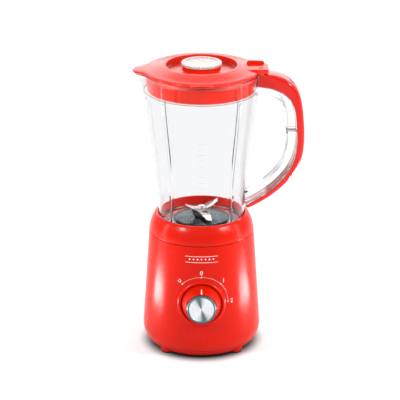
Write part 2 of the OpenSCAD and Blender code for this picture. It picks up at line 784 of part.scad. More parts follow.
module lid_seal() {
    z = jug_top - 5.4;
    color(lid_red) turned([[skirt_r + fit_gap, z], [skirt_r + 0.6, z], [skirt_r + 1.15, z + 1.2],
        [skirt_r + 0.6, z + 2.4], [skirt_r + 1.15, z + 3.6], [skirt_r + 0.6, z + 4.8],
        [skirt_r + fit_gap, z + 4.8]]);
}

// ================================================================ cap
module measuring_cap() {
    cup_out = 20.1;
    cup_t = 1.6;
    top = lip_z + 3.2;
    color(clear) turned([[0, lip_z + 0.1], [cap_r - 1, lip_z + 0.1], [cap_r, lip_z + 0.9],
        [cap_r, top - 0.6], [cap_r - 0.8, top], [cap_r - 3, top], [cap_r - 4.4, top - 1.3], [0, top - 1.3]]);
    color(clear) translate([0, 0, lip_z - cup_d]) difference() {
        cylinder(r1 = cup_out - 0.8, r2 = cup_out, h = cup_d + 0.2);
        translate([0, 0, -1]) cylinder(r1 = cup_out - 0.8 - cup_t, r2 = cup_out - cup_t, h = cup_d + 1);
    }
}

base_housing();
top_collar();
bottom_cover();
rubber_feet();
bottom_screws();
collar_screws();
dial_bezel();
rotary_switch();
switch_nut();
switch_terminals();
cord_gland();
stator_core();
field_coils();
upper_bracket();
lower_bracket();
upper_bearing();
lower_bearing();
brush_holders();
carbon_brushes();
stator_bolts();
motor_grommets();
motor_screws();
well_seal();
motor_shaft();
armature_core();
armature_windings();
commutator();
cooling_fan();
drive_coupler();
knob_body();
knob_face();
knob_pointer();
knob_shaft();
jug_body();
jug_handle();
handle_cover();
handle_screws();
bearing_holder();
lock_ring();
holder_gasket();
floor_disc();
blade_bush();
shaft_seal();
blade_shaft();
lower_blade();
upper_blade();
blade_washer();
blade_nut();
driven_coupler();
lid_body();
lid_seal();
measuring_cap();
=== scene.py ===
import json
import math

import bpy
from mathutils import Matrix, Vector

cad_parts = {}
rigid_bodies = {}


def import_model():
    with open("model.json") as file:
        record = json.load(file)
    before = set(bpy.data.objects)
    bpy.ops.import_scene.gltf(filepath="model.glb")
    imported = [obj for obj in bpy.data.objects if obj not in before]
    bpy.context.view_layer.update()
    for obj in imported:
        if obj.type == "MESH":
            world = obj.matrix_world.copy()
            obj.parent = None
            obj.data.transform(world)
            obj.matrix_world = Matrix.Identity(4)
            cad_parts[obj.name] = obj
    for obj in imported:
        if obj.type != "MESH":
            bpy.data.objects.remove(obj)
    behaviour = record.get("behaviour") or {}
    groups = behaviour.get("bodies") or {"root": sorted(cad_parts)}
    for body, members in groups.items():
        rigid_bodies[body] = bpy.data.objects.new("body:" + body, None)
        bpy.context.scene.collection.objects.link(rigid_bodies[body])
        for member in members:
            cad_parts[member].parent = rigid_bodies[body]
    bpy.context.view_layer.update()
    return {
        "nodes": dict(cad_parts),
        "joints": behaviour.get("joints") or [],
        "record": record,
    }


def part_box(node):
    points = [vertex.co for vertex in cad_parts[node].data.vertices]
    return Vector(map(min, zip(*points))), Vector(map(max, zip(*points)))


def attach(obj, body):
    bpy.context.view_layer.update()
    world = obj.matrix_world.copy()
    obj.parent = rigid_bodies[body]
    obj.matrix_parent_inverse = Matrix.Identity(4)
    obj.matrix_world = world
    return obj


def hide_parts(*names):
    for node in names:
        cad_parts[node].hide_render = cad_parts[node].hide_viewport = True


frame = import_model()

# ---------------------------------------------------------------------------------------------
# Camera: a long lens a little above the jug, looking down on the front of the dial.
camera = bpy.data.objects.new("camera", bpy.data.cameras.new("camera"))
bpy.context.scene.collection.objects.link(camera)
aim = Vector((-0.0019, 0.0, 0.19))
camera.location = aim + Vector((0.0, -2.45, 0.91))
camera.rotation_euler = (aim - camera.location).to_track_quat("-Z", "Y").to_euler()
camera.data.sensor_width = 36.0
camera.data.lens = 185.2
bpy.context.scene.camera = camera

# ---------------------------------------------------------------------------------------------
# Studio: a white room, brightest overhead and behind, with a white floor that has a contact shadow
# painted on it close round the foot. Small lamps stand in front, a wide panel behind, and at each
# side a strip stands and a card lies on the floor for the long soft highlights.
bpy.context.scene.view_settings.view_transform = "Standard"
world = bpy.data.worlds.new("white_room")
bpy.context.scene.world = world
world.use_nodes = True
sky = world.node_tree
way = sky.nodes.new("ShaderNodeTexCoord")
split = sky.nodes.new("ShaderNodeSeparateXYZ")
climbing = sky.nodes.new("ShaderNodeMapRange")
climbing.inputs["To Min"].default_value = 0.2
climbing.inputs["To Max"].default_value = 0.85
sky.links.new(way.outputs["Generated"], split.inputs["Vector"])
sky.links.new(split.outputs["Z"], climbing.inputs["Value"])
behind = sky.nodes.new("ShaderNodeMapRange")
behind.inputs["From Min"].default_value = 0.1
behind.inputs["From Max"].default_value = 0.9
behind.inputs["To Max"].default_value = 0.55
both = sky.nodes.new("ShaderNodeMath")
sky.links.new(split.outputs["Y"], behind.inputs["Value"])
sky.links.new(climbing.outputs["Result"], both.inputs[0])
sky.links.new(behind.outputs["Result"], both.inputs[1])
sky.links.new(both.outputs["Value"], sky.nodes["Background"].inputs["Strength"])
sky.nodes["Background"].inputs["Color"].default_value = (1.0, 1.0, 1.0, 1.0)


def soft_box(name, spot, size, power, shape="RECTANGLE", aimed_at=(0.0, 0.0, 0.15)):
    """A flat lamp turned to its aim. Only the panel behind is seen through the clear plastic."""
    lamp = bpy.data.lights.new(name, "AREA")
    lamp.shape = shape
    lamp.size, lamp.size_y = size
    lamp.energy = power
    box = bpy.data.objects.new(name, lamp)
    box.location = spot
    box.rotation_euler = (Vector(aimed_at) - Vector(spot)).to_track_quat("-Z", "Y").to_euler()
    box.visible_transmission = name == "back_panel"
    bpy.context.scene.collection.objects.link(box)


soft_box("left_strip", (-0.5, -0.05, 0.25), (0.04, 0.3), 0.35)
soft_box("right_strip", (0.5, -0.05, 0.25), (0.04, 0.3), 0.3)
soft_box("left_card", (-0.37, -0.01, 0.004), (0.18, 0.14), 3.8, aimed_at=(-0.37, -0.01, 1.0))
soft_box("right_card", (0.37, -0.01, 0.004), (0.18, 0.14), 3.3, aimed_at=(0.37, -0.01, 1.0))
soft_box("left_lamp", (-0.85, -0.75, 0.9), (0.15, 0.15), 8.6, "ELLIPSE")
soft_box("right_lamp", (0.95, -0.65, 0.9), (0.15, 0.15), 8.6, "ELLIPSE")
soft_box("handle_lamp", (0.75, -0.35, 0.62), (0.06, 0.3), 1.6, "ELLIPSE", aimed_at=(0.12, 0.0, 0.32))
soft_box("back_panel", (0.0, 1.7, 0.95), (2.6, 1.1), 14.0)

bpy.ops.mesh.primitive_plane_add(size=8.0, location=(0.0, 0.0, 0.0))
floor = bpy.context.object
floor.name = "floor"
floor_paint = bpy.data.materials.new("floor_paint")
floor_paint.use_nodes = True
paint_tree = floor_paint.node_tree
paint = paint_tree.nodes["Principled BSDF"]
paint.inputs["Roughness"].default_value = 0.8
paint.inputs["Emission Color"].default_value = (1.0, 1.0, 1.0, 1.0)
# Painted contact shadow: the floor's colour and glow go dark close round the axis, under the foot, and fade
# out to the open floor's tones.
PAINTED_SHADOW_REACH = 0.075
ground = paint_tree.nodes.new("ShaderNodeTexCoord")
from_axis = paint_tree.nodes.new("ShaderNodeVectorMath")
from_axis.operation = "LENGTH"
paint_tree.links.new(ground.outputs["Object"], from_axis.inputs[0])
for socket, shadow_tone, open_floor_tone in (("Base Color", 0.01, 0.58), ("Emission Strength", 0.0, 0.34)):
    shadow_fade = paint_tree.nodes.new("ShaderNodeMapRange")
    shadow_fade.interpolation_type = "SMOOTHSTEP"
    shadow_fade.inputs["From Min"].default_value = 0.8 * PAINTED_SHADOW_REACH
    shadow_fade.inputs["From Max"].default_value = 1.12 * PAINTED_SHADOW_REACH
    shadow_fade.inputs["To Min"].default_value = shadow_tone
    shadow_fade.inputs["To Max"].default_value = open_floor_tone
    paint_tree.links.new(from_axis.outputs["Value"], shadow_fade.inputs["Value"])
    paint_tree.links.new(shadow_fade.outputs["Result"], paint.inputs[socket])
floor.data.materials.append(floor_paint)

# ---------------------------------------------------------------------------------------------
# Motor housing: a tapered round shell moulded in glossy red ABS, open below for the cover and
# above for the shoulder, with a round opening for the dial and one for the mains lead.
MM = 0.001
RED = (0.57, 0.008, 0.001)


def finish_nodes(name, color, roughness, **sockets):
    """A new material, its node tree and its shader, with plain values on the shader's own sockets."""
    material = bpy.data.materials.new(name)
    material.use_nodes = True
    shader = material.node_tree.nodes["Principled BSDF"]
    shader.inputs["Base Color"].default_value = (*color, 1.0)
    shader.inputs["Roughness"].default_value = roughness
    for label, value in sockets.items():
        shader.inputs[label.replace("_", " ")].default_value = value
    return material, material.node_tree, shader


def grain(tree, scale, detail=3.0, stretch=(1.0, 1.0, 1.0)):
    """Noise over the piece's own coordinates, stretched along its axes."""
    place = tree.nodes.new("ShaderNodeTexCoord")
    turn = tree.nodes.new("ShaderNodeMapping")
    turn.inputs["Scale"].default_value = stretch
    noise = tree.nodes.new("ShaderNodeTexNoise")
    noise.inputs["Scale"].default_value = scale
    noise.inputs["Detail"].default_value = detail
    tree.links.new(place.outputs["Object"], turn.inputs["Vector"])
    tree.links.new(turn.outputs["Vector"], noise.inputs["Vector"])
    return noise


def stripes(tree, scale, kind, direction):
    """Even waves over the piece's own coordinates, as rings or as bands."""
    place = tree.nodes.new("ShaderNodeTexCoord")
    wave = tree.nodes.new("ShaderNodeTexWave")
    wave.wave_type = kind
    setattr(wave, kind.lower() + "_direction", direction)
    wave.inputs["Scale"].default_value = scale
    tree.links.new(place.outputs["Object"], wave.inputs["Vector"])
    return wave


def spread(tree, source, socket, low, high):
    """Lets the source vary a socket between two values."""
    span = tree.nodes.new("ShaderNodeMapRange")
    span.inputs["From Min"].default_value = 0.3
    span.inputs["From Max"].default_value = 0.7
    span.inputs["To Min"].default_value = low
    span.inputs["To Max"].default_value = high
    tree.links.new(source.outputs[0], span.inputs["Value"])
    tree.links.new(span.outputs["Result"], socket)


def tint(tree, source, socket, dark, light):
    """Lets the source vary a colour between two tones."""
    ramp = tree.nodes.new("ShaderNodeValToRGB")
    ramp.color_ramp.elements[0].position = 0.3
    ramp.color_ramp.elements[0].color = (*dark, 1.0)
    ramp.color_ramp.elements[1].position = 0.7
    ramp.color_ramp.elements[1].color = (*light, 1.0)
    tree.links.new(source.outputs[0], ramp.inputs["Fac"])
    tree.links.new(ramp.outputs["Color"], socket)


def relief(tree, shader, source, depth, strength=1.0):
    """Fine relief of the surface, of that depth in metres."""
    bump = tree.nodes.new("ShaderNodeBump")
    bump.inputs["Distance"].default_value = depth
    bump.inputs["Strength"].default_value = strength
    tree.links.new(source.outputs[0], bump.inputs["Height"])
    tree.links.new(bump.outputs["Normal"], shader.inputs["Normal"])


def gloss_red_finish(name, base, roughness, gloss=0.14):
    """Moulded gloss plastic: slow ripples in the surface, a slight drift of tone and of polish."""
    material, tree, shader = finish_nodes(name, base, roughness, IOR=1.5)
    shader.inputs["Specular IOR Level"].default_value = gloss
    drift = grain(tree, 14.0, 2.0)
    tint(tree, drift, shader.inputs["Base Color"], [c * 0.95 for c in base], [c * 1.05 for c in base])
    spread(tree, grain(tree, 160.0, 4.0), shader.inputs["Roughness"], roughness - 0.03, roughness + 0.05)
    relief(tree, shader, grain(tree, 30.0, 1.0), 0.00003, 0.5)
    return material


gloss_red = gloss_red_finish("gloss_red", RED, 0.23)


def sweep(centre, radius, start, end, steps):
    """Points of an arc about centre, from one angle to another, in degrees."""
    path = []
    for k in range(steps + 1):
        a = math.radians(start + (end - start) * k / steps)
        path.append((centre[0] + radius * math.cos(a), centre[1] + radius * math.sin(a), 0.0))
    return path


def eased(corners):
    """An outline through corners (across, up, fillet radius), with each fillet as an arc."""
    path = []
    for i, (x, y, fillet) in enumerate(corners):
        here = Vector((x, y))
        if fillet == 0.0:
            path.append(here)
            continue
        back = Vector(corners[i - 1][:2]) - here
        ahead = Vector(corners[(i + 1) % len(corners)][:2]) - here
        half = back.angle(ahead) / 2
        reach = min(fillet / math.tan(half), 0.48 * back.length, 0.48 * ahead.length)
        centre = here + (back.normalized() + ahead.normalized()).normalized() * (reach / math.cos(half))
        first = here + back.normalized() * reach - centre
        last = here + ahead.normalized() * reach - centre
        turn = math.atan2(first.x * last.y - first.y * last.x, first.dot(last))
        steps = max(2, math.ceil(abs(turn) / 0.35))
        for k in range(steps + 1):
            a = turn * k / steps
            path.append(centre + Vector((first.x * math.cos(a) - first.y * math.sin(a),
                                         first.x * math.sin(a) + first.y * math.cos(a))))
    return path


def trace(name, path, closed=True, along="XZ"):
    """A new piece in edit mode, holding one line that follows the path, in millimetres."""
    def spot(p):
        return Vector((p[0], 0.0, p[1])) * MM if along == "XZ" else Vector((p[0], p[1], 0.0)) * MM

    bpy.ops.object.select_all(action="DESELECT")
    bpy.ops.mesh.primitive_plane_add(size=MM)
    piece = bpy.context.object
    piece.name = name
    bpy.ops.object.mode_set(mode="EDIT")
    bpy.ops.mesh.select_all(action="SELECT")
    bpy.ops.mesh.merge(type="CENTER")
    bpy.ops.transform.translate(value=spot(path[0]))
    stops = list(path[1:]) + ([path[0]] if closed else [])
    here = spot(path[0])
    for stop in stops:
        bpy.ops.mesh.extrude_region_move(TRANSFORM_OT_translate={"value": spot(stop) - here})
        here = spot(stop)
    bpy.ops.mesh.select_all(action="SELECT")
    bpy.ops.mesh.remove_doubles(threshold=1e-6)
    return piece


def close_up(piece, angle=35.0):
    """Merges seams, turns the faces outwards, and leaves edit mode with smooth shading."""
    bpy.ops.mesh.select_all(action="SELECT")
    bpy.ops.mesh.remove_doubles(threshold=1e-6)
    bpy.ops.mesh.normals_make_consistent(inside=False)
    bpy.ops.object.mode_set(mode="OBJECT")
    bpy.ops.object.shade_smooth_by_angle(angle=math.radians(angle))
    return piece


def turned(name, corners, steps=144, closed=True, angle=35.0):
    """A round piece: the outline (radius, height, fillet) spun about the blade axis."""
    piece = trace(name, eased(corners), closed)
    bpy.ops.mesh.spin(steps=steps, angle=math.tau, center=(0.0, 0.0, 0.0), axis=(0.0, 0.0, 1.0))
    return close_up(piece, angle)


def cut(piece, tool):
    """Takes the tool's shape out of the piece, and the tool away."""
    boolean = piece.modifiers.new("cut", "BOOLEAN")
    boolean.operation = "DIFFERENCE"
    boolean.solver = "EXACT"
    boolean.object = tool
    bpy.ops.object.select_all(action="DESELECT")
    bpy.context.view_layer.objects.active = piece
    piece.select_set(True)
    bpy.ops.object.modifier_apply(modifier="cut")
    bpy.data.objects.remove(tool)


def weld(piece, other):
    """Joins the other closed piece into this one as one skin."""
    boolean = piece.modifiers.new("weld", "BOOLEAN")
    boolean.operation = "UNION"
    boolean.solver = "EXACT"
    boolean.object = other
    bpy.ops.object.select_all(action="DESELECT")
    bpy.context.view_layer.objects.active = piece
    piece.select_set(True)
    bpy.ops.object.modifier_apply(modifier="weld")
    bpy.data.objects.remove(other)


def soften(piece, width, segments=3, limit=35.0):
    """Rounds the piece's sharp edges."""
    bevel = piece.modifiers.new("soften", "BEVEL")
    bevel.width = width * MM
    bevel.segments = segments
    bevel.limit_method = "ANGLE"
    bevel.angle_limit = math.radians(limit)
    bevel.harden_normals = False
    bpy.ops.object.select_all(action="DESELECT")
    bpy.context.view_layer.objects.active = piece
    piece.select_set(True)
    bpy.ops.object.modifier_apply(modifier="soften")
    bpy.ops.object.shade_smooth_by_angle(angle=math.radians(35.0))


def place(piece, matrix):
    """Puts the piece where the matrix says, with its place in its mesh."""
    piece.matrix_world = matrix
    bpy.ops.object.select_all(action="DESELECT")
    bpy.context.view_layer.objects.active = piece
    piece.select_set(True)
    bpy.ops.object.transform_apply(location=True, rotation=True, scale=True)


def quarter_turn(quarter, reach=0.0):
    """One of the four places that stand crosswise round the axis, that far out in millimetres."""
    way = Matrix.Rotation(math.radians(45 + 90 * quarter), 4, "Z")
    return way @ Matrix.Translation((reach * MM, 0.0, 0.0))


def dress(piece, material, body, slot, *nodes):
    """Finish, body and the CAD nodes that the piece stands for; the slot argument is not used."""
    piece.data.materials.clear()
    piece.data.materials.append(material)
    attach(piece, body)
    if nodes:
        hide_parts(*nodes)


housing_low, housing_high = [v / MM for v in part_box("base_housing")]
SEAM_R, BASE_R, BULGE_Z, BULGE_ARC, WALL = 66.6, 75.0, 26.5, 28.0, 2.5
SEAM_Z = housing_high.z + 0.3
TAPER = math.degrees(math.atan((BASE_R - SEAM_R) / (SEAM_Z - BULGE_Z)))
BULGE_C = (BASE_R - BULGE_ARC * math.cos(math.radians(TAPER)),
           BULGE_Z - BULGE_ARC * math.sin(math.radians(TAPER)))


def bulge_angle(height):
    return math.degrees(math.asin((height - BULGE_C[1]) / BULGE_ARC))


lead_hole = trace("lead_hole", [(p[0], p[1]) for p in sweep((0.0, 34.0), 6.6, 0.0, 350.0, 35)])
bpy.ops.mesh.edge_face_add()
bpy.ops.transform.translate(value=(0.0, 60.0 * MM, 0.0))
bpy.ops.mesh.extrude_region_move(TRANSFORM_OT_translate={"value": (0.0, 30.0 * MM, 0.0)})
close_up(lead_hole)

dial_joint = next(j for j in frame["joints"] if j["name"] == "knob_turn")
dial_out = -Vector(dial_joint["axis"])
dial_turn = dial_out.to_track_quat("Z", "Y").to_matrix().to_4x4()
dial_frame = Matrix.Translation(Vector(dial_joint["pos_m"])) @ dial_turn
dial_hole = turned("dial_hole", [(0, -20, 0), (27.4, -20, 0), (27.4, 20, 0), (0, 20, 0)], 96, closed=False)
place(dial_hole, dial_frame)

housing = turned("housing_shell", sweep(BULGE_C, BULGE_ARC, bulge_angle(housing_low.z), TAPER, 14)
                 + [(SEAM_R + 0.02, SEAM_Z - 0.5, 0.5), (SEAM_R - 0.9, SEAM_Z - 0.3, 0.2)]
                 + [(SEAM_R - WALL, SEAM_Z - 0.3, 0), (BASE_R - WALL, BULGE_Z, 0)]
                 + sweep(BULGE_C, BULGE_ARC - WALL, TAPER, bulge_angle(housing_low.z), 8), 180)
cut(housing, dial_hole)
cut(housing, lead_hole)
bpy.ops.object.shade_smooth_by_angle(angle=math.radians(35.0))
dress(housing, gloss_red, "base", "red_shell", "base_housing")

# ---------------------------------------------------------------------------------------------
# Shoulder: the second red moulding, whose curved rim holds the jug in a round well with four
# keys on its floor. It plugs into the housing and is held by screws from below.
SHOULDER_ARC, RIM_Z, WELL_R, WELL_Z = 48.0, housing_high.z + 24.3, 55.4, 148.0
SHOULDER_C = (SEAM_R - SHOULDER_ARC * math.cos(math.radians(TAPER)),
              SEAM_Z - SHOULDER_ARC * math.sin(math.radians(TAPER)))


def shoulder_angle(height):
    return math.degrees(math.asin((height - SHOULDER_C[1]) / SHOULDER_ARC))


shoulder = turned("shoulder_collar", [(SEAM_R - 0.9, SEAM_Z + 0.3, 0.2), (SEAM_R, SEAM_Z + 0.5, 0.4)]
                  + sweep(SHOULDER_C, SHOULDER_ARC, shoulder_angle(SEAM_Z + 1.4),
                          shoulder_angle(RIM_Z - 1.6), 14)
                  + [(57.4, RIM_Z, 1.1), (WELL_R, RIM_Z, 0.8), (WELL_R, WELL_Z, 1.2), (15.5, WELL_Z, 0.6)]
                  + [(15.3, WELL_Z + 3.0, 0.5), (13.5, WELL_Z + 3.0, 0.5), (13.5, WELL_Z, 0), (12, WELL_Z, 0)]
                  + [(12, WELL_Z - 3, 0), (WELL_R + 1.6, WELL_Z - 3, 0), (WELL_R + 1.6, RIM_Z - 8, 0)]
                  + [(SEAM_R - WALL - 1.2, SEAM_Z + 2, 0), (SEAM_R - WALL - 1.9, SEAM_Z - 5, 0)]
                  + [(SEAM_R - WALL - 0.3, SEAM_Z - 5, 0), (SEAM_R - WALL - 0.3, SEAM_Z + 0.3, 0)], 180)
shoulder_red = gloss_red_finish("shoulder_red", RED, 0.22, 0.22)
dress(shoulder, shoulder_red, "base", "red_shell", "top_collar")

for quarter in range(4):
    key = trace("well_key_%d" % (quarter + 1), [(46.5, WELL_Z - 0.5), (53.5, WELL_Z - 0.5),
                                                (53.5, WELL_Z + 5), (46.5, WELL_Z + 5)])
    bpy.ops.mesh.edge_face_add()
    bpy.ops.transform.translate(value=(0.0, -4.5 * MM, 0.0))
    bpy.ops.mesh.extrude_region_move(TRANSFORM_OT_translate={"value": (0.0, 9.0 * MM, 0.0)})
    close_up(key)
    soften(key, 1.0)
    place(key, quarter_turn(quarter))
    dress(key, gloss_red, "base", "red_shell")

# ---------------------------------------------------------------------------------------------
# Bottom cover: a red dished plate that carries the curve of the housing under, with four
# moulded legs round the cover screws and a row of cooling slots in the middle.
COVER_Z, UNDER_Z, LEG_REACH, LEG_R = 12.0, 3.0, 60.0, 10.0
cover = turned("foot_cover", [(0, UNDER_Z, 0), (64.6, UNDER_Z, 1.2)]
               + sweep(BULGE_C, BULGE_ARC, bulge_angle(UNDER_Z + 1.6), bulge_angle(COVER_Z - 1.2), 8)
               + [(71.3, COVER_Z, 0.2), (69.0, COVER_Z, 0), (60.5, UNDER_Z + 2.5, 2), (0, UNDER_Z + 2.5, 0)],
               144, closed=False)
for row in range(9):
    bpy.ops.mesh.primitive_cube_add(size=1.0, location=((6 * row - 24) * MM, 0.0, 5.0 * MM))
    bpy.context.object.scale = (3 * MM, 26 * MM, 10 * MM)
    bpy.ops.object.transform_apply(location=True, rotation=True, scale=True)
    soften(bpy.context.object, 0.6, 2)
    cut(cover, bpy.context.object)
for quarter in range(4):
    well = turned("screw_well", [(0, -1, 0), (4.6, -1, 0), (4.6, 7, 0), (0, 7, 0)], 40, closed=False)
    place(well, quarter_turn(quarter, LEG_REACH))
    cut(cover, well)
bpy.ops.object.shade_smooth_by_angle(angle=math.radians(35.0))
dress(cover, gloss_red, "base", "red_shell", "bottom_cover")

black_rubber, tree, shader = finish_nodes("black_rubber", (0.018, 0.018, 0.018), 0.62)
spread(tree, grain(tree, 220.0), shader.inputs["Roughness"], 0.52, 0.75)
relief(tree, shader, grain(tree, 900.0), 0.00005)

for quarter in range(4):
    spot = quarter_turn(quarter, LEG_REACH)
    leg = turned("cover_leg_%d" % (quarter + 1),
                 [(4.6, 2.0, 0), (LEG_R - 0.4, 2.0, 0.8), (LEG_R, 11.4, 0.5), (4.6, 11.4, 0)], 48)
    place(leg, spot)
    dress(leg, gloss_red, "base", "red_shell")
    pad = turned("foot_pad_%d" % (quarter + 1),
                 [(5, 0, 0.4), (LEG_R - 1, 0, 0.7), (LEG_R - 0.9, 2, 0.2), (5, 2, 0)], 48)
    place(pad, spot)
    if quarter == 0:
        dress(pad, black_rubber, "base", "black_rubber", "rubber_feet")
    else:
        dress(pad, black_rubber, "base", "black_rubber")

# ---------------------------------------------------------------------------------------------
# Dial ring: a red ring let into the front of the housing, deep enough to stand proud of its
# curve at both sides, with the well that the knob turns in.
RING_R, KNOB_R, FACE_R, KNOB_OUT = 30.5, 25.0, 18.4, 24.0
DISH = KNOB_R + 0.8
ring = turned("dial_ring", [(5.3, -8.5, 0), (DISH + 1.4, -8.5, 0), (DISH + 1.4, -7.2, 0), (RING_R, -7.2, 0)]
              + [(RING_R, 0.2, 0.4), (RING_R - 1.2, 1.9, 1.2), (DISH + 2.3, 2.8, 1.2), (DISH + 0.7, 2.7, 0.7)]
              + [(DISH, 1.8, 0.4), (DISH, -6.5, 1.0), (5.3, -6.5, 0)], 120)
place(ring, dial_frame)
dress(ring, gloss_red, "base", "red_shell", "dial_bezel")

# ---------------------------------------------------------------------------------------------
# Knob: a red cone with a soft shoulder, a spun metal disc let into its front, and a white
# pointer moulded into the slope. It is pushed on the switch's shaft.
CONE_TOP = KNOB_OUT - 2.6
CONE_R = FACE_R + 0.8 + 0.6
knob = turned("dial_knob", [(KNOB_R, -5.6, 0.5), (KNOB_R, 2.2, 1.4), (CONE_R + 0.2, CONE_TOP, 0.8)]
              + [(FACE_R + 0.5, CONE_TOP + 0.5, 0.2), (FACE_R + 0.1, CONE_TOP - 0.4, 0)]
              + [(5, CONE_TOP - 0.4, 0), (5, CONE_TOP - 2.4, 0), (CONE_R - 3, CONE_TOP - 2.4, 1)]
              + [(KNOB_R - 2.4, 2.5, 1)]
              + [(KNOB_R - 2, -5.6, 0.3)], 128)
place(knob, dial_frame)
dress(knob, gloss_red, "knob", "red_shell", "knob_body")

disc = turned("knob_disc", [(0, CONE_TOP - 0.3, 0), (FACE_R, CONE_TOP - 0.3, 0)]
              + [(FACE_R, KNOB_OUT - 1.3, 0.3), (FACE_R - 0.9, KNOB_OUT - 0.1, 0.3)]
              + [(FACE_R - 2.2, KNOB_OUT - 0.2, 0.3)]
              + [(FACE_R - 2.9, KNOB_OUT - 0.9, 0.2), (9, KNOB_OUT - 1.0, 3), (0, KNOB_OUT - 0.8, 0)],
              128, closed=False)
place(disc, dial_frame)
spun_metal, tree, shader = finish_nodes("spun_metal", (0.78, 0.79, 0.80), 0.34, Metallic=1.0, Anisotropic=0.6)
where = tree.nodes.new("ShaderNodeTexCoord")
offset = tree.nodes.new("ShaderNodeVectorMath")
offset.operation = "SUBTRACT"
offset.inputs[1].default_value = dial_frame @ Vector((0.0, 0.0, KNOB_OUT * MM))
tree.links.new(where.outputs["Object"], offset.inputs[0])
around = tree.nodes.new("ShaderNodeVectorMath")
around.operation = "CROSS_PRODUCT"
around.inputs[0].default_value = dial_out
tree.links.new(offset.outputs["Vector"], around.inputs[1])
tree.links.new(around.outputs["Vector"], shader.inputs["Tangent"])
# Painted reflection: the disc's colour runs through light and dark teal sectors by bearing round its axis,
# two of each, so the sectors turn with the knob.
parts = tree.nodes.new("ShaderNodeSeparateXYZ")
tree.links.new(offset.outputs["Vector"], parts.inputs["Vector"])
bearing = tree.nodes.new("ShaderNodeMath")
bearing.operation = "ARCTAN2"
tree.links.new(parts.outputs["X"], bearing.inputs[0])
tree.links.new(parts.outputs["Z"], bearing.inputs[1])
double = tree.nodes.new("ShaderNodeMath")
double.operation = "MULTIPLY_ADD"
double.inputs[1].default_value = 2.0
double.inputs[2].default_value = 0.5
tree.links.new(bearing.outputs["Value"], double.inputs[0])
wave = tree.nodes.new("ShaderNodeMath")
wave.operation = "COSINE"
tree.links.new(double.outputs["Value"], wave.inputs[0])
painted_sheen = tree.nodes.new("ShaderNodeValToRGB")
painted_sheen.color_ramp.elements[0].position = 0.0
painted_sheen.color_ramp.elements[0].color = (0.80, 0.82, 0.84, 1.0)
painted_sheen.color_ramp.elements[1].position = 1.0
painted_sheen.color_ramp.elements[1].color = (0.10, 0.15, 0.17, 1.0)
middle = painted_sheen.color_ramp.elements.new(0.72)
middle.color = (0.55, 0.58, 0.60, 1.0)
tree.links.new(wave.outputs["Value"], painted_sheen.inputs["Fac"])
# Painted dark reflection: near its edge the disc is coloured dark teal.
from_middle = tree.nodes.new("ShaderNodeVectorMath")
from_middle.operation = "LENGTH"
tree.links.new(around.outputs["Vector"], from_middle.inputs[0])
rim = tree.nodes.new("ShaderNodeMapRange")
rim.inputs["From Min"].default_value = (FACE_R - 3.0) * MM
rim.inputs["From Max"].default_value = (FACE_R - 2.6) * MM
tree.links.new(from_middle.outputs["Value"], rim.inputs["Value"])
painted_rim_mix = tree.nodes.new("ShaderNodeMix")
painted_rim_mix.data_type = "RGBA"
painted_rim_mix.inputs[7].default_value = (0.10, 0.17, 0.19, 1.0)
tree.links.new(rim.outputs["Result"], painted_rim_mix.inputs[0])
tree.links.new(painted_sheen.outputs["Color"], painted_rim_mix.inputs[6])
tree.links.new(painted_rim_mix.outputs[2], shader.inputs["Base Color"])
dress(disc, spun_metal, "knob", "spun_metal", "knob_face")

white_ink, tree, shader = finish_nodes("white_ink", (0.86, 0.85, 0.83), 0.42)
spread(tree, grain(tree, 400.0), shader.inputs["Roughness"], 0.35, 0.52)
pointer = trace("knob_pointer_bar", [(-0.75, CONE_R + 0.1), (0.75, CONE_R + 0.1),
                                     (0.45, KNOB_R - 2.2), (-0.45, KNOB_R - 2.2)], along="XY")
bpy.ops.mesh.edge_face_add()
bpy.ops.transform.translate(value=(0.0, 0.0, CONE_TOP * MM + 0.0002))
bpy.ops.mesh.extrude_region_move(TRANSFORM_OT_translate={"value": (0.0, 0.0, 1.3 * MM)})
close_up(pointer)
soften(pointer, 0.25, 2)
slope = (CONE_TOP - 2.2) / (KNOB_R - CONE_R - 0.2)
for corner in pointer.data.vertices:
    corner.co.z -= max(corner.co.y - CONE_R * MM, 0.0) * slope
place(pointer, dial_frame)
dress(pointer, white_ink, "knob", "white_mark", "knob_pointer")


# ---------------------------------------------------------------------------------------------
# Print on the housing: the speed scale round the dial, and a plain ornament of two fine lines
# with a row of lozenges above it. Pad-printed in white on the slope of the wall.
def wrapped(name, above, turn_to=None):
    """Lays the active flat mesh, drawn in millimetres about the dial's centre, on the housing wall."""
    drawing = bpy.context.object
    drawing.name = name
    skin = drawing.modifiers.new("ink", "SOLIDIFY")
    skin.thickness = -0.09
    bpy.ops.object.modifier_apply(modifier="ink")
    lean = math.radians(TAPER)
    for corner in drawing.data.vertices:
        x, y, out = corner.co
        height = housing_dial_z + y * math.cos(lean)
        radius = BASE_R - (height - BULGE_Z) * math.tan(lean) + above + out
        bearing_angle = x / radius
        corner.co = Vector((radius * math.sin(bearing_angle), -radius * math.cos(bearing_angle), height)) * MM
    dress(drawing, white_ink, "base", "white_mark")
    return drawing


def dots(spots, size, sides=12):
    """One flat mesh of small round dots."""
    bpy.ops.object.select_all(action="DESELECT")
    for x, y, scale in spots:
        bpy.ops.mesh.primitive_circle_add(vertices=sides, radius=size * scale, fill_type="NGON",
                                          location=(x, y, 0.0))
    made = [o for o in bpy.data.objects if o.name.startswith("Circle")]
    for o in made:
        o.select_set(True)
    bpy.context.view_layer.objects.active = made[0]
    bpy.ops.object.join()
    bpy.ops.object.transform_apply(location=True, rotation=True, scale=True)


housing_dial_z = dial_frame.translation.z / MM
SCALE_R, FIGURE_R = 34.8, 40.2
arc = []
for k in range(28):
    a = math.radians(-45.0 + 5.0 * k)
    big = 1.9 if k % 9 == 0 else 1.0
    arc.append((SCALE_R * math.sin(a), SCALE_R * math.cos(a), big))
dots(arc, 0.46)
wrapped("scale_dots", 0.04)

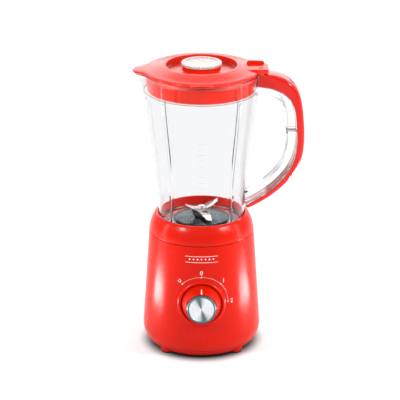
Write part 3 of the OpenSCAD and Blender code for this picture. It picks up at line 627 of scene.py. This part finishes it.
for figure, bearing_deg in (("0", 0.0), ("1", 45.0), ("2", 90.0)):
    bpy.ops.object.text_add(location=(0.0, 0.0, 0.0))
    mark = bpy.context.object
    mark.data.body = figure
    mark.data.size = 7.6
    mark.data.align_x = "CENTER"
    mark.data.align_y = "CENTER"
    bpy.ops.object.convert(target="MESH")
    a = math.radians(bearing_deg)
    mark.location = (FIGURE_R * math.sin(a), FIGURE_R * math.cos(a), 0.0)
    bpy.ops.object.transform_apply(location=True, rotation=True, scale=True)
    wrapped("scale_figure_" + figure, 0.04)

for row, low in (("upper", 62.0), ("lower", 54.2)):
    bpy.ops.mesh.primitive_grid_add(x_subdivisions=26, y_subdivisions=1, size=1.0, location=(0.0, low, 0.0))
    bpy.context.object.scale = (41.2, 0.45, 1.0)
    bpy.ops.object.transform_apply(location=True, rotation=True, scale=True)
    wrapped("ornament_rule_" + row, 0.04)
dots([(-15.0 + 5.0 * k, 58.4, 1.0) for k in range(7)], 1.15, 4)
wrapped("ornament_lozenges", 0.04)

pulse = []
for k in range(10):
    a = math.tau * k / 12
    pulse.append((-FIGURE_R * math.sin(math.radians(45)) + 1.9 * math.sin(a),
                  FIGURE_R * math.cos(math.radians(45)) + 1.9 * math.cos(a), 1.0))
dots(pulse, 0.42)
wrapped("scale_pulse_ring", 0.04)

# ---------------------------------------------------------------------------------------------
# Jug: clear SAN, injection moulded in one with its handle channel. Four ribs stand inside the
# wall, a ledge runs under the lid's skirt, and the rim is drawn out to a pouring lip.
MOUTH_R, JUG_FOOT_R, JUG_Z, JUG_FLOOR, JUG_TOP, GLASS = 70.4, 54.4, 148.5, 166.5, 360.0, 2.4
clear_jug, tree, shader = finish_nodes("clear_jug", (0.9, 0.904, 0.912), 0.01,
                                       Transmission_Weight=1.0, IOR=1.4)
shader.inputs["Specular Tint"].default_value = (0.1, 0.1, 0.11, 1.0)
# Most of the light passes the thin wall, so that what stands inside is lit from all round.
rays = tree.nodes.new("ShaderNodeLightPath")
shade = tree.nodes.new("ShaderNodeMath")
shade.operation = "MULTIPLY_ADD"
shade.inputs[1].default_value = -0.8
shade.inputs[2].default_value = 1.0
tree.links.new(rays.outputs["Is Shadow Ray"], shade.inputs[0])
tree.links.new(shade.outputs["Value"], shader.inputs["Alpha"])
spread(tree, grain(tree, 60.0), shader.inputs["Roughness"], 0.008, 0.03)
relief(tree, shader, grain(tree, 16.0, 0.0), 0.00003, 0.3)


def jug_radius(height):
    t = min(max((height - 165.0) / 185.0, 0.0), 1.0)
    return JUG_FOOT_R + (MOUTH_R - JUG_FOOT_R) * t * t * (3.0 - 2.0 * t)


def climb(start, end, steps, inset):
    heights = [start + (end - start) * k / steps for k in range(steps + 1)]
    return [(jug_radius(z) - inset, z, 0.0) for z in heights]


def lip_reach(height):
    return 12.6 * max((height - 318.0) / (JUG_TOP - 318.0), 0.0) ** 1.7


def draw_out(piece, reach, width, near):
    """Pulls the wall outwards on the -X side, in a bell as wide as that in degrees."""
    for corner in piece.data.vertices:
        x, y, z = corner.co
        radius = math.hypot(x, y)
        if radius < near * MM:
            continue
        off = math.degrees(math.atan2(y, -x))
        grow = reach(z / MM) * MM * math.exp(-0.5 * (off / width) ** 2)
        corner.co.x += grow * x / radius
        corner.co.y += grow * y / radius


jug = turned("jug_wall", [(JUG_FOOT_R - GLASS, JUG_Z, 0.4), (JUG_FOOT_R, JUG_Z, 0.8)] + climb(165, 350, 30, 0)
             + [(MOUTH_R, JUG_TOP - 3.6, 0.5), (MOUTH_R + 0.7, JUG_TOP - 2.6, 0.5)]
             + [(MOUTH_R + 0.7, JUG_TOP - 0.1, 0.8), (MOUTH_R - GLASS + 0.2, JUG_TOP, 0.8)]
             + [(MOUTH_R - GLASS, JUG_TOP - 3, 0)]
             + climb(352, 338.2, 3, GLASS) + [(67.2, 337.4, 0.1), (67.2, 337.0, 0.1)]
             + climb(336.4, 334, 1, GLASS) + climb(333.4, 330, 4, GLASS) + climb(324, 172, 22, GLASS)
             + [(JUG_FOOT_R - GLASS, JUG_FLOOR, 3.0), (30, JUG_FLOOR, 0.4), (30, JUG_FLOOR - 3, 0.4)]
             + [(JUG_FOOT_R - GLASS, JUG_FLOOR - 3, 0.8)], 240)
draw_out(jug, lip_reach, 8.6, 60.0)
for corner in jug.data.vertices:
    x, y, z = (v / MM for v in corner.co)
    radius = math.hypot(x, y)
    if 45.0 < radius < jug_radius(z) - GLASS + 0.3 and JUG_FLOOR + 0.5 < z < 333.7:
        off = abs((math.degrees(math.atan2(y, x)) % 90.0) - 45.0)
        push = 2.6 * (1.0 if off < 0.8 else 0.0) * min(1.0, (334.0 - z) / 3.0, max(0.5, (z - 170.0) / 60.0))
        corner.co.x *= (radius - push) / radius
        corner.co.y *= (radius - push) / radius


def prism(name, path, width, along="XZ", base=-0.5):
    """A flat outline made solid: its width lies across the plane it is drawn in."""
    piece = trace(name, path, True, along)
    bpy.ops.mesh.edge_face_add()
    step = Vector((0.0, 1.0, 0.0)) if along == "XZ" else Vector((0.0, 0.0, 1.0))
    bpy.ops.transform.translate(value=step * width * MM * base)
    bpy.ops.mesh.extrude_region_move(TRANSFORM_OT_translate={"value": step * width * MM})
    return close_up(piece)


for turn in (45.0, 135.0):
    notch = prism("notch", [(-60, 147), (60, 147), (60, 154.5), (-60, 154.5)], 10.6)
    place(notch, Matrix.Rotation(math.radians(turn), 4, "Z"))
    cut(jug, notch)


def bezier_chain(curves, steps):
    path = []
    for a, b, c, d in curves:
        for k in range(steps):
            t = k / steps
            weights = ((1 - t) ** 3, 3 * (1 - t) ** 2 * t, 3 * (1 - t) * t * t, t ** 3)
            path.append(tuple(sum(w * v for w, v in zip(weights, values)) for values in zip(a, b, c, d)))
    return path + [curves[-1][3]]


def beside(path, gap):
    """The line moved sideways by the gap, to the left of its direction."""
    moved = []
    for k, (x, z) in enumerate(path):
        x0, z0 = path[max(k - 1, 0)]
        x1, z1 = path[min(k + 1, len(path) - 1)]
        length = math.hypot(x1 - x0, z1 - z0)
        moved.append((x - gap * (z1 - z0) / length, z + gap * (x1 - x0) / length))
    return moved


outer_line = bezier_chain([((60, 360.5), (103, 360.5), (123, 352), (126.8, 310)),
                           ((126.8, 310), (128.6, 292), (131, 264), (124.8, 246)),
                           ((124.8, 246), (115.9, 220), (88, 196), (58.5, 182.6))], 12)
seam_line = bezier_chain([((60, 344.5), (98, 344.5), (115.5, 333), (118, 304)),
                          ((118, 304), (119.3, 289), (121.9, 266), (116.5, 248)),
                          ((116.5, 248), (108.7, 222), (84.5, 201), (55.5, 186.6))], 12)
grip_line = bezier_chain([((60, 332), (90, 332), (103.5, 330), (105, 303)),
                          ((105, 303), (105.9, 288), (106.8, 265), (101.4, 250)),
                          ((101.4, 250), (94.2, 230), (73, 215.2), (50, 203))], 12)


def jug_plug(name, gap):
    """The outside of the jug as a solid, grown by the gap, for trimming what meets it."""
    return turned(name, [(0, JUG_Z, 0), (JUG_FOOT_R + gap, JUG_Z, 0)] + climb(165, 350, 20, -gap)
                  + [(MOUTH_R + gap + 0.7, 355, 0), (MOUTH_R + gap + 0.7, 366, 0), (0, 366, 0)],
                  96, closed=False)


channel = prism("handle_web", seam_line + grip_line[::-1], 2.6)
flange = prism("handle_flange", beside(grip_line, 2.6) + grip_line[::-1], 23.4)
soften(flange, 0.9, 3, 50.0)
weld(channel, flange)
edge = prism("handle_edge", seam_line + beside(seam_line, -1.8)[::-1], 23.4)
soften(edge, 0.5, 2, 50.0)
weld(channel, edge)
boss = turned("handle_boss", [(0, 0, 0), (4.6, 0, 0.4), (4.6, 16, 0.2), (0, 16, 0)], 40, closed=False)
place(boss, Matrix.Translation((103.0 * MM, 0.0, 284.0 * MM)) @ Matrix.Rotation(math.radians(90), 4, "Y"))
weld(channel, boss)
cut(channel, jug_plug("plug", -1.2))
weld(jug, channel)
bpy.ops.object.shade_smooth_by_angle(angle=math.radians(35.0))
dress(jug, clear_jug, "jug", "clear_jug", "jug_body", "jug_handle")
unlit = bpy.data.collections.new("kept_off_the_cards")
unlit.objects.link(jug)
unlit.collection_objects[0].light_linking.link_state = "EXCLUDE"
for card in ("left_card", "right_card"):
    bpy.data.objects[card].light_linking.receiver_collection = unlit

for k in range(9):
    height = 226.0 + 7.6 * k
    length = 11.0 if k % 2 == 0 else 6.0
    tick = prism("measure_tick_%d" % (k + 1), [(-length / 2 + 0.5 * i * length / 5, 0.0) for i in range(11)]
                 + [(length / 2 - 0.5 * i * length / 5, 0.55) for i in range(11)], 0.3, "XY", 0.0)
    for corner in tick.data.vertices:
        x, y, out = (v / MM for v in corner.co)
        radius = jug_radius(height + y) + 0.02 + out
        corner.co = Vector((radius * math.sin(x / radius), -radius * math.cos(x / radius), height + y)) * MM
    dress(tick, clear_jug, "jug", "clear_jug")

# ---------------------------------------------------------------------------------------------
# Handle cover: a red ABS shell with a full round back, clipped over the edge of the clear
# channel from the outside and held by one screw through the boss.
handle = prism("handle_shell", outer_line + seam_line[::-1], 26.0)
cut(handle, jug_plug("plug", 0.5))
back = [Vector((x * MM, z * MM)) for x, z in outer_line]
bpy.ops.object.mode_set(mode="EDIT")
bpy.ops.mesh.select_all(action="DESELECT")
bpy.ops.object.mode_set(mode="OBJECT")
on_back = [min((Vector((v.co.x, v.co.z)) - p).length for p in back) < 1e-5 for v in handle.data.vertices]
for line in handle.data.edges:
    first, last = line.vertices
    level = abs(handle.data.vertices[first].co.y - handle.data.vertices[last].co.y) < 1e-6
    line.select = on_back[first] and on_back[last] and level
bpy.ops.object.mode_set(mode="EDIT")
bpy.ops.mesh.select_mode(type="EDGE")
bpy.ops.mesh.bevel(offset=4.2 * MM, segments=8, profile=0.5, clamp_overlap=False)
bpy.ops.mesh.select_mode(type="VERT")
close_up(handle)
cover_red = gloss_red_finish("cover_red", (0.56, 0.005, 0.001), 0.12, 0.4)
dress(handle, cover_red, "jug", "red_shell", "handle_cover")

# ---------------------------------------------------------------------------------------------
# Blades: pressed stainless steel, two arms bent up and two bent down, each with a ground edge
# and a row of teeth, clamped on the shaft by a washer and a domed nut.
blade_steel, tree, shader = finish_nodes("blade_steel", (0.80, 0.80, 0.80), 0.24, Metallic=1.0)
spread(tree, grain(tree, 500.0, 3.0, (1.0, 0.08, 1.0)), shader.inputs["Roughness"], 0.2, 0.36)
relief(tree, shader, grain(tree, 700.0, 2.0, (1.0, 0.06, 1.0)), 0.000008)
SHEET, UPPER_Z = 1.5, 177.0


def blade(name, height, turn, reach, lift):
    """Two arms cut from one strip, toothed on the leading edge and bent at the hub."""
    length = (reach - 7.0) / math.cos(math.radians(lift)) + 7.0
    half = [(7.0, -5.9)]
    teeth = 5
    for k in range(teeth):
        u = 10.0 + (length * 0.86 - 10.0) * k / teeth
        v = -5.8 + 0.28 * k
        half += [(u, v), (u + 0.6, v + 1.0)]
    half += [(length * 0.88, -4.2), (length, 1.4), (length - 0.8, 2.2), (length * 0.6, 5.2), (7.0, 5.9)]
    outline = half + [(-x, -y) for x, y in half]
    piece = prism(name, outline, SHEET, "XY", 0.0)
    bore = turned("bore", [(0, -3, 0), (3.02, -3, 0), (3.02, 5, 0), (0, 5, 0)], 32, closed=False)
    cut(piece, bore)
    soften(piece, 0.32, 2, 50.0)
    for corner in piece.data.vertices:
        out = abs(corner.co.x) - 7.0 * MM
        if out > 0.0:
            side = math.copysign(1.0, corner.co.x)
            a = math.radians(lift)
            corner.co.x = side * (7.0 * MM + out * math.cos(a) - corner.co.z * math.sin(a))
            corner.co.z = out * math.sin(a) + corner.co.z * math.cos(a)
    place(piece, Matrix.Translation((0.0, 0.0, height * MM)) @ Matrix.Rotation(math.radians(turn), 4, "Z"))
    return piece


upper = blade("raised_blade", UPPER_Z, 27.0, 24.0, 32.0)
dress(upper, blade_steel, "blades", "blade_steel", "upper_blade")
lower = blade("lowered_blade", UPPER_Z - SHEET - 0.05, -67.0, 29.0, -12.0)
dress(lower, blade_steel, "blades", "blade_steel", "lower_blade")

nut = turned("domed_nut_cap", [(0, UPPER_Z + 3.4, 0), (5.1, UPPER_Z + 3.4, 0.3), (4.6, UPPER_Z + 5.4, 1.4)]
             + [(2.2, UPPER_Z + 6.6, 1.5), (0, UPPER_Z + 6.7, 0)], 48, closed=False)
hexagon = prism("domed_nut", [p[:2] for p in sweep((0.0, 0.0), 6.0, 0.0, 300.0, 5)], 3.1, "XY", 0.0)
place(hexagon, Matrix.Translation((0.0, 0.0, (UPPER_Z + SHEET + 0.05) * MM)))
soften(hexagon, 0.35, 2)
weld(hexagon, nut)
bpy.ops.object.shade_smooth_by_angle(angle=math.radians(35.0))
dress(hexagon, blade_steel, "blades", "shaft_steel", "blade_nut")

# ---------------------------------------------------------------------------------------------
# Floor disc: a shallow spun stainless cone that covers the jug's floor round the blade bearing.
plate = turned("floor_dish", [(9.9, 169.4, 0), (20, 168.4, 0), (33, 167.5, 1), (35, 166.9, 0.2)]
               + [(35, 167.8, 0.3), (33.4, 168.7, 2), (20, 169.6, 0), (9.9, 170.6, 0.2)], 120)
# The steel's near-black teal colour is a painted dark reflection.
disc_steel, tree, shader = finish_nodes("disc_steel", (0.032, 0.048, 0.054), 0.3, Metallic=1.0)
relief(tree, shader, stripes(tree, 900.0, "RINGS", "Z"), 0.000002)
spread(tree, grain(tree, 90.0), shader.inputs["Roughness"], 0.22, 0.36)
dress(plate, disc_steel, "jug", "disc_steel", "floor_disc")

# ---------------------------------------------------------------------------------------------
# Lid: red polypropylene moulded in one, with a dished ring round the cap's collar, a skirt
# that plugs the jug, a flap over the pouring lip and a hooded tab over the handle.
LID_Z, LIP_Z, RECESS_Z, FLANGE_R, RECESS_R, SKIRT_R = 360.6, 369.6, 363.0, 71.6, 44.0, 66.4
lid_red = gloss_red_finish("lid_red", (0.66, 0.016, 0.004), 0.2, 0.3)

lid = turned("lid_disc", [(FLANGE_R - 0.2, LID_Z, 0.6), (FLANGE_R, LID_Z + 2.9, 1.2)]
             + [(FLANGE_R - 3.5, LID_Z + 3.9, 1.5), (66.0, LID_Z + 4.1, 0), (60.0, LID_Z + 5.6, 0)]
             + [(54.0, LID_Z + 7.1, 0)]
             + [(RECESS_R + 2.4, LIP_Z - 0.1, 1.8), (RECESS_R + 0.2, LIP_Z, 0.8)]
             + [(RECESS_R - 0.4, RECESS_Z, 1.4), (34.0, RECESS_Z - 0.2, 0), (23.8, RECESS_Z, 1.2)]
             + [(23.5, LIP_Z - 0.2, 0.7), (20.7, LIP_Z - 0.2, 0.7), (20.7, LID_Z - 4, 0.5)]
             + [(23.4, LID_Z - 4, 0.5), (23.4, RECESS_Z - 2.4, 0), (46.0, RECESS_Z - 2.4, 0)]
             + [(46.4, LIP_Z - 2.9, 0), (SKIRT_R - 2.2, LID_Z + 1.9, 0), (SKIRT_R - 2.2, 338, 0.5)]
             + [(SKIRT_R, 338, 0.7), (SKIRT_R, 342, 0), (SKIRT_R, 346, 0), (SKIRT_R, 350, 0)]
             + [(SKIRT_R, 354, 0), (SKIRT_R, LID_Z, 0)], 180)
for corner in lid.data.vertices:
    x, y, z = (v / MM for v in corner.co)
    radius = math.hypot(x, y)
    bearing_deg = math.degrees(math.atan2(y, x))
    if radius > SKIRT_R + 0.6:
        off = math.degrees(math.atan2(y, -x))
        grow = 14.2 * math.exp(-abs(off / 12.5) ** 2.8) * (radius - SKIRT_R) / (FLANGE_R - SKIRT_R)
        corner.co.x += grow * x / radius * MM
        corner.co.y += grow * y / radius * MM
    elif radius > SKIRT_R - 0.2 and z < 356.0:
        for groove in (-118.0, -51.5, 62.0, 128.0):
            if abs(bearing_deg - groove) < 1.5:
                corner.co.x *= (radius - 1.7) / radius
                corner.co.y *= (radius - 1.7) / radius
for turn in (-90.0, 90.0):
    bump = prism("lid_bump", [(FLANGE_R - 4, LID_Z + 0.2), (FLANGE_R + 1.7, LID_Z + 0.2),
                              (FLANGE_R + 1.7, LID_Z + 2.5), (FLANGE_R - 4, LID_Z + 3.0)], 28.0)
    soften(bump, 0.8, 3)
    slot_tool = prism("bump_slot", [(FLANGE_R + 0.5, LID_Z + 0.8), (FLANGE_R + 5, LID_Z + 0.8),
                                    (FLANGE_R + 5, LID_Z + 2.1), (FLANGE_R + 0.5, LID_Z + 2.1)], 16.0)
    cut(bump, slot_tool)
    place(bump, Matrix.Rotation(math.radians(turn), 4, "Z"))
    weld(lid, bump)

TAB_X, TAB_W, TAB_TOP = 83.0, 30.0, 366.7
tab = prism("lid_tab", [(52, -TAB_W / 2), (TAB_X - 1.5, -TAB_W / 2), (TAB_X, -TAB_W / 2 + 1.5)]
            + [(TAB_X, TAB_W / 2 - 6)]
            + [p[:2] for p in sweep((TAB_X - 6, TAB_W / 2 - 6), 6.0, 15.0, 90.0, 5)]
            + [(52, TAB_W / 2)], TAB_TOP - LID_Z - 0.5, "XY", 0.0)
place(tab, Matrix.Translation((0.0, 0.0, (LID_Z + 0.5) * MM)))
soften(tab, 1.3, 4, 50.0)
core = turned("tab_core", [(0, 350, 0), (SKIRT_R - 1, 350, 0), (SKIRT_R - 1, LID_Z + 3.0, 0)]
              + [(50, LID_Z + 7.2, 0), (0, LID_Z + 7.2, 0)], 96, closed=False)
cut(tab, core)
under = prism("tab_under", [(FLANGE_R + 1.6, -TAB_W / 2 + 2.4), (TAB_X - 2.4, -TAB_W / 2 + 2.4),
                            (TAB_X - 2.4, TAB_W / 2 - 4), (FLANGE_R + 1.6, TAB_W / 2 - 4)], 4.6, "XY", 0.0)
place(under, Matrix.Translation((0.0, 0.0, (LID_Z - 1.0) * MM)))
cut(tab, under)
hook_slot = prism("tab_slot", [(71, -9), (77, -9), (77, -5), (71, -5)], 4.0, "XY", 0.0)
place(hook_slot, Matrix.Translation((0.0, 0.0, (TAB_TOP - 1.8) * MM)))
cut(tab, hook_slot)
weld(lid, tab)
ridge = prism("tab_ridge", [(56, TAB_TOP - 1), (76.5, TAB_TOP - 1), (78.5, TAB_TOP + 0.4),
                            (76.5, TAB_TOP + 3.4), (70, TAB_TOP + 3.9), (59, TAB_TOP + 4.0),
                            (56.6, TAB_TOP + 2.4)], 2.8)
soften(ridge, 0.8, 3)
place(ridge, Matrix.Translation((0.0, (TAB_W / 2 - 1.6) * MM, 0.0)))
weld(lid, ridge)
bpy.ops.object.shade_smooth_by_angle(angle=math.radians(35.0))
dress(lid, lid_red, "lid", "lid_red", "lid_body")

# ---------------------------------------------------------------------------------------------
# Lid seal: a soft red silicone band with two lips, stretched round the top of the skirt.
seal_red, tree, shader = finish_nodes("seal_red", (0.62, 0.020, 0.012), 0.45)
spread(tree, grain(tree, 220.0), shader.inputs["Roughness"], 0.4, 0.55)
band = turned("seal_band", [(66.45, 354.6, 0), (67.0, 354.6, 0.2), (67.5, 355.8, 0.3), (66.9, 357.0, 0.3)]
              + [(67.5, 358.2, 0.3), (67.0, 359.4, 0.2), (66.45, 359.4, 0)], 180)
dress(band, seal_red, "lid", "lid_seal_red", "lid_seal")

# ---------------------------------------------------------------------------------------------
# Measuring cap: natural polypropylene, cloudy, with a dished top inside a raised rim and an
# open cup below that plugs the collar of the lid.
CAP_R = 25.5
cap = turned("cap_cup", [(0, LIP_Z + 1.7, 0), (CAP_R - 5.6, LIP_Z + 1.9, 1.2)]
             + [(CAP_R - 4.0, LIP_Z + 3.2, 0.8), (CAP_R - 0.3, LIP_Z + 3.1, 1.1)]
             + [(CAP_R, LIP_Z + 0.1, 0.6), (20.3, LIP_Z + 0.1, 0.4)]
             + [(19.5, LIP_Z - 24.8, 0.6), (17.8, LIP_Z - 24.8, 0.5), (18.5, LIP_Z, 0.8)]
             + [(0, LIP_Z + 0.1, 0)], 128, closed=False)
clear_cap, tree, shader = finish_nodes("clear_cap", (0.74, 0.62, 0.60), 0.28,
                                       Transmission_Weight=0.4, IOR=1.49)
spread(tree, grain(tree, 90.0), shader.inputs["Roughness"], 0.18, 0.3)
dress(cap, clear_cap, "cap", "clear_cap", "measuring_cap")

# ---------------------------------------------------------------------------------------------
# Inner works: the motor, switch, couplings, bearings, screws and seals keep the CAD's shapes
# and take the finish of their material slot. Each finish is worked into the surface.
black_plastic, tree, shader = finish_nodes("black_plastic", (0.022, 0.022, 0.024), 0.42)
spread(tree, grain(tree, 260.0), shader.inputs["Roughness"], 0.36, 0.55)
relief(tree, shader, grain(tree, 1500.0), 0.00002)

screw_steel, tree, shader = finish_nodes("screw_steel", (0.74, 0.75, 0.76), 0.36, Metallic=1.0)
tint(tree, grain(tree, 300.0), shader.inputs["Base Color"], (0.66, 0.67, 0.69), (0.80, 0.81, 0.82))

brass, tree, shader = finish_nodes("brass", (0.72, 0.50, 0.20), 0.3, Metallic=1.0)
tint(tree, grain(tree, 200.0), shader.inputs["Base Color"], (0.62, 0.42, 0.16), (0.76, 0.55, 0.24))
spread(tree, grain(tree, 600.0), shader.inputs["Roughness"], 0.25, 0.42)

core_steel, tree, shader = finish_nodes("core_steel", (0.30, 0.31, 0.33), 0.45, Metallic=1.0)
sheets = stripes(tree, 620.0, "BANDS", "Z")
tint(tree, sheets, shader.inputs["Base Color"], (0.16, 0.17, 0.19), (0.40, 0.41, 0.43))
relief(tree, shader, sheets, 0.00006)

copper_wire, tree, shader = finish_nodes("copper_wire", (0.55, 0.20, 0.07), 0.28, Metallic=1.0)
turns = stripes(tree, 480.0, "BANDS", "DIAGONAL")
tint(tree, turns, shader.inputs["Base Color"], (0.30, 0.09, 0.03), (0.66, 0.27, 0.10))
relief(tree, shader, turns, 0.0001)

bracket_alloy, tree, shader = finish_nodes("bracket_alloy", (0.58, 0.59, 0.60), 0.5, Metallic=1.0)
spread(tree, grain(tree, 350.0, 5.0), shader.inputs["Roughness"], 0.42, 0.62)
relief(tree, shader, grain(tree, 700.0, 5.0), 0.00006)

carbon, tree, shader = finish_nodes("carbon", (0.035, 0.035, 0.038), 0.6)
tint(tree, grain(tree, 900.0, 4.0), shader.inputs["Base Color"], (0.02, 0.02, 0.022), (0.06, 0.06, 0.065))

shaft_steel, tree, shader = finish_nodes("shaft_steel", (0.68, 0.69, 0.70), 0.2, Metallic=1.0)
spread(tree, grain(tree, 300.0, 3.0, (1.0, 1.0, 0.05)), shader.inputs["Roughness"], 0.14, 0.28)

seal_silicone, tree, shader = finish_nodes("seal_silicone", (0.74, 0.73, 0.71), 0.5, Subsurface_Weight=0.2)
shader.inputs["Subsurface Radius"].default_value = (0.002, 0.002, 0.002)
spread(tree, grain(tree, 240.0), shader.inputs["Roughness"], 0.42, 0.6)

finishes = {"red_shell": gloss_red, "lid_red": lid_red, "lid_seal_red": seal_red,
            "black_rubber": black_rubber, "black_plastic": black_plastic, "seal_silicone": seal_silicone,
            "screw_steel": screw_steel, "shaft_steel": shaft_steel, "blade_steel": blade_steel,
            "disc_steel": disc_steel, "spun_metal": spun_metal, "core_steel": core_steel, "brass": brass,
            "copper_wire": copper_wire, "bracket_alloy": bracket_alloy, "carbon": carbon,
            "white_mark": white_ink, "clear_jug": clear_jug, "clear_cap": clear_cap}
for subpart in frame["record"]["subparts"]:
    node = frame["nodes"][subpart["node"]]
    node.data.materials.clear()
    node.data.materials.append(finishes[subpart["material_slot"]])
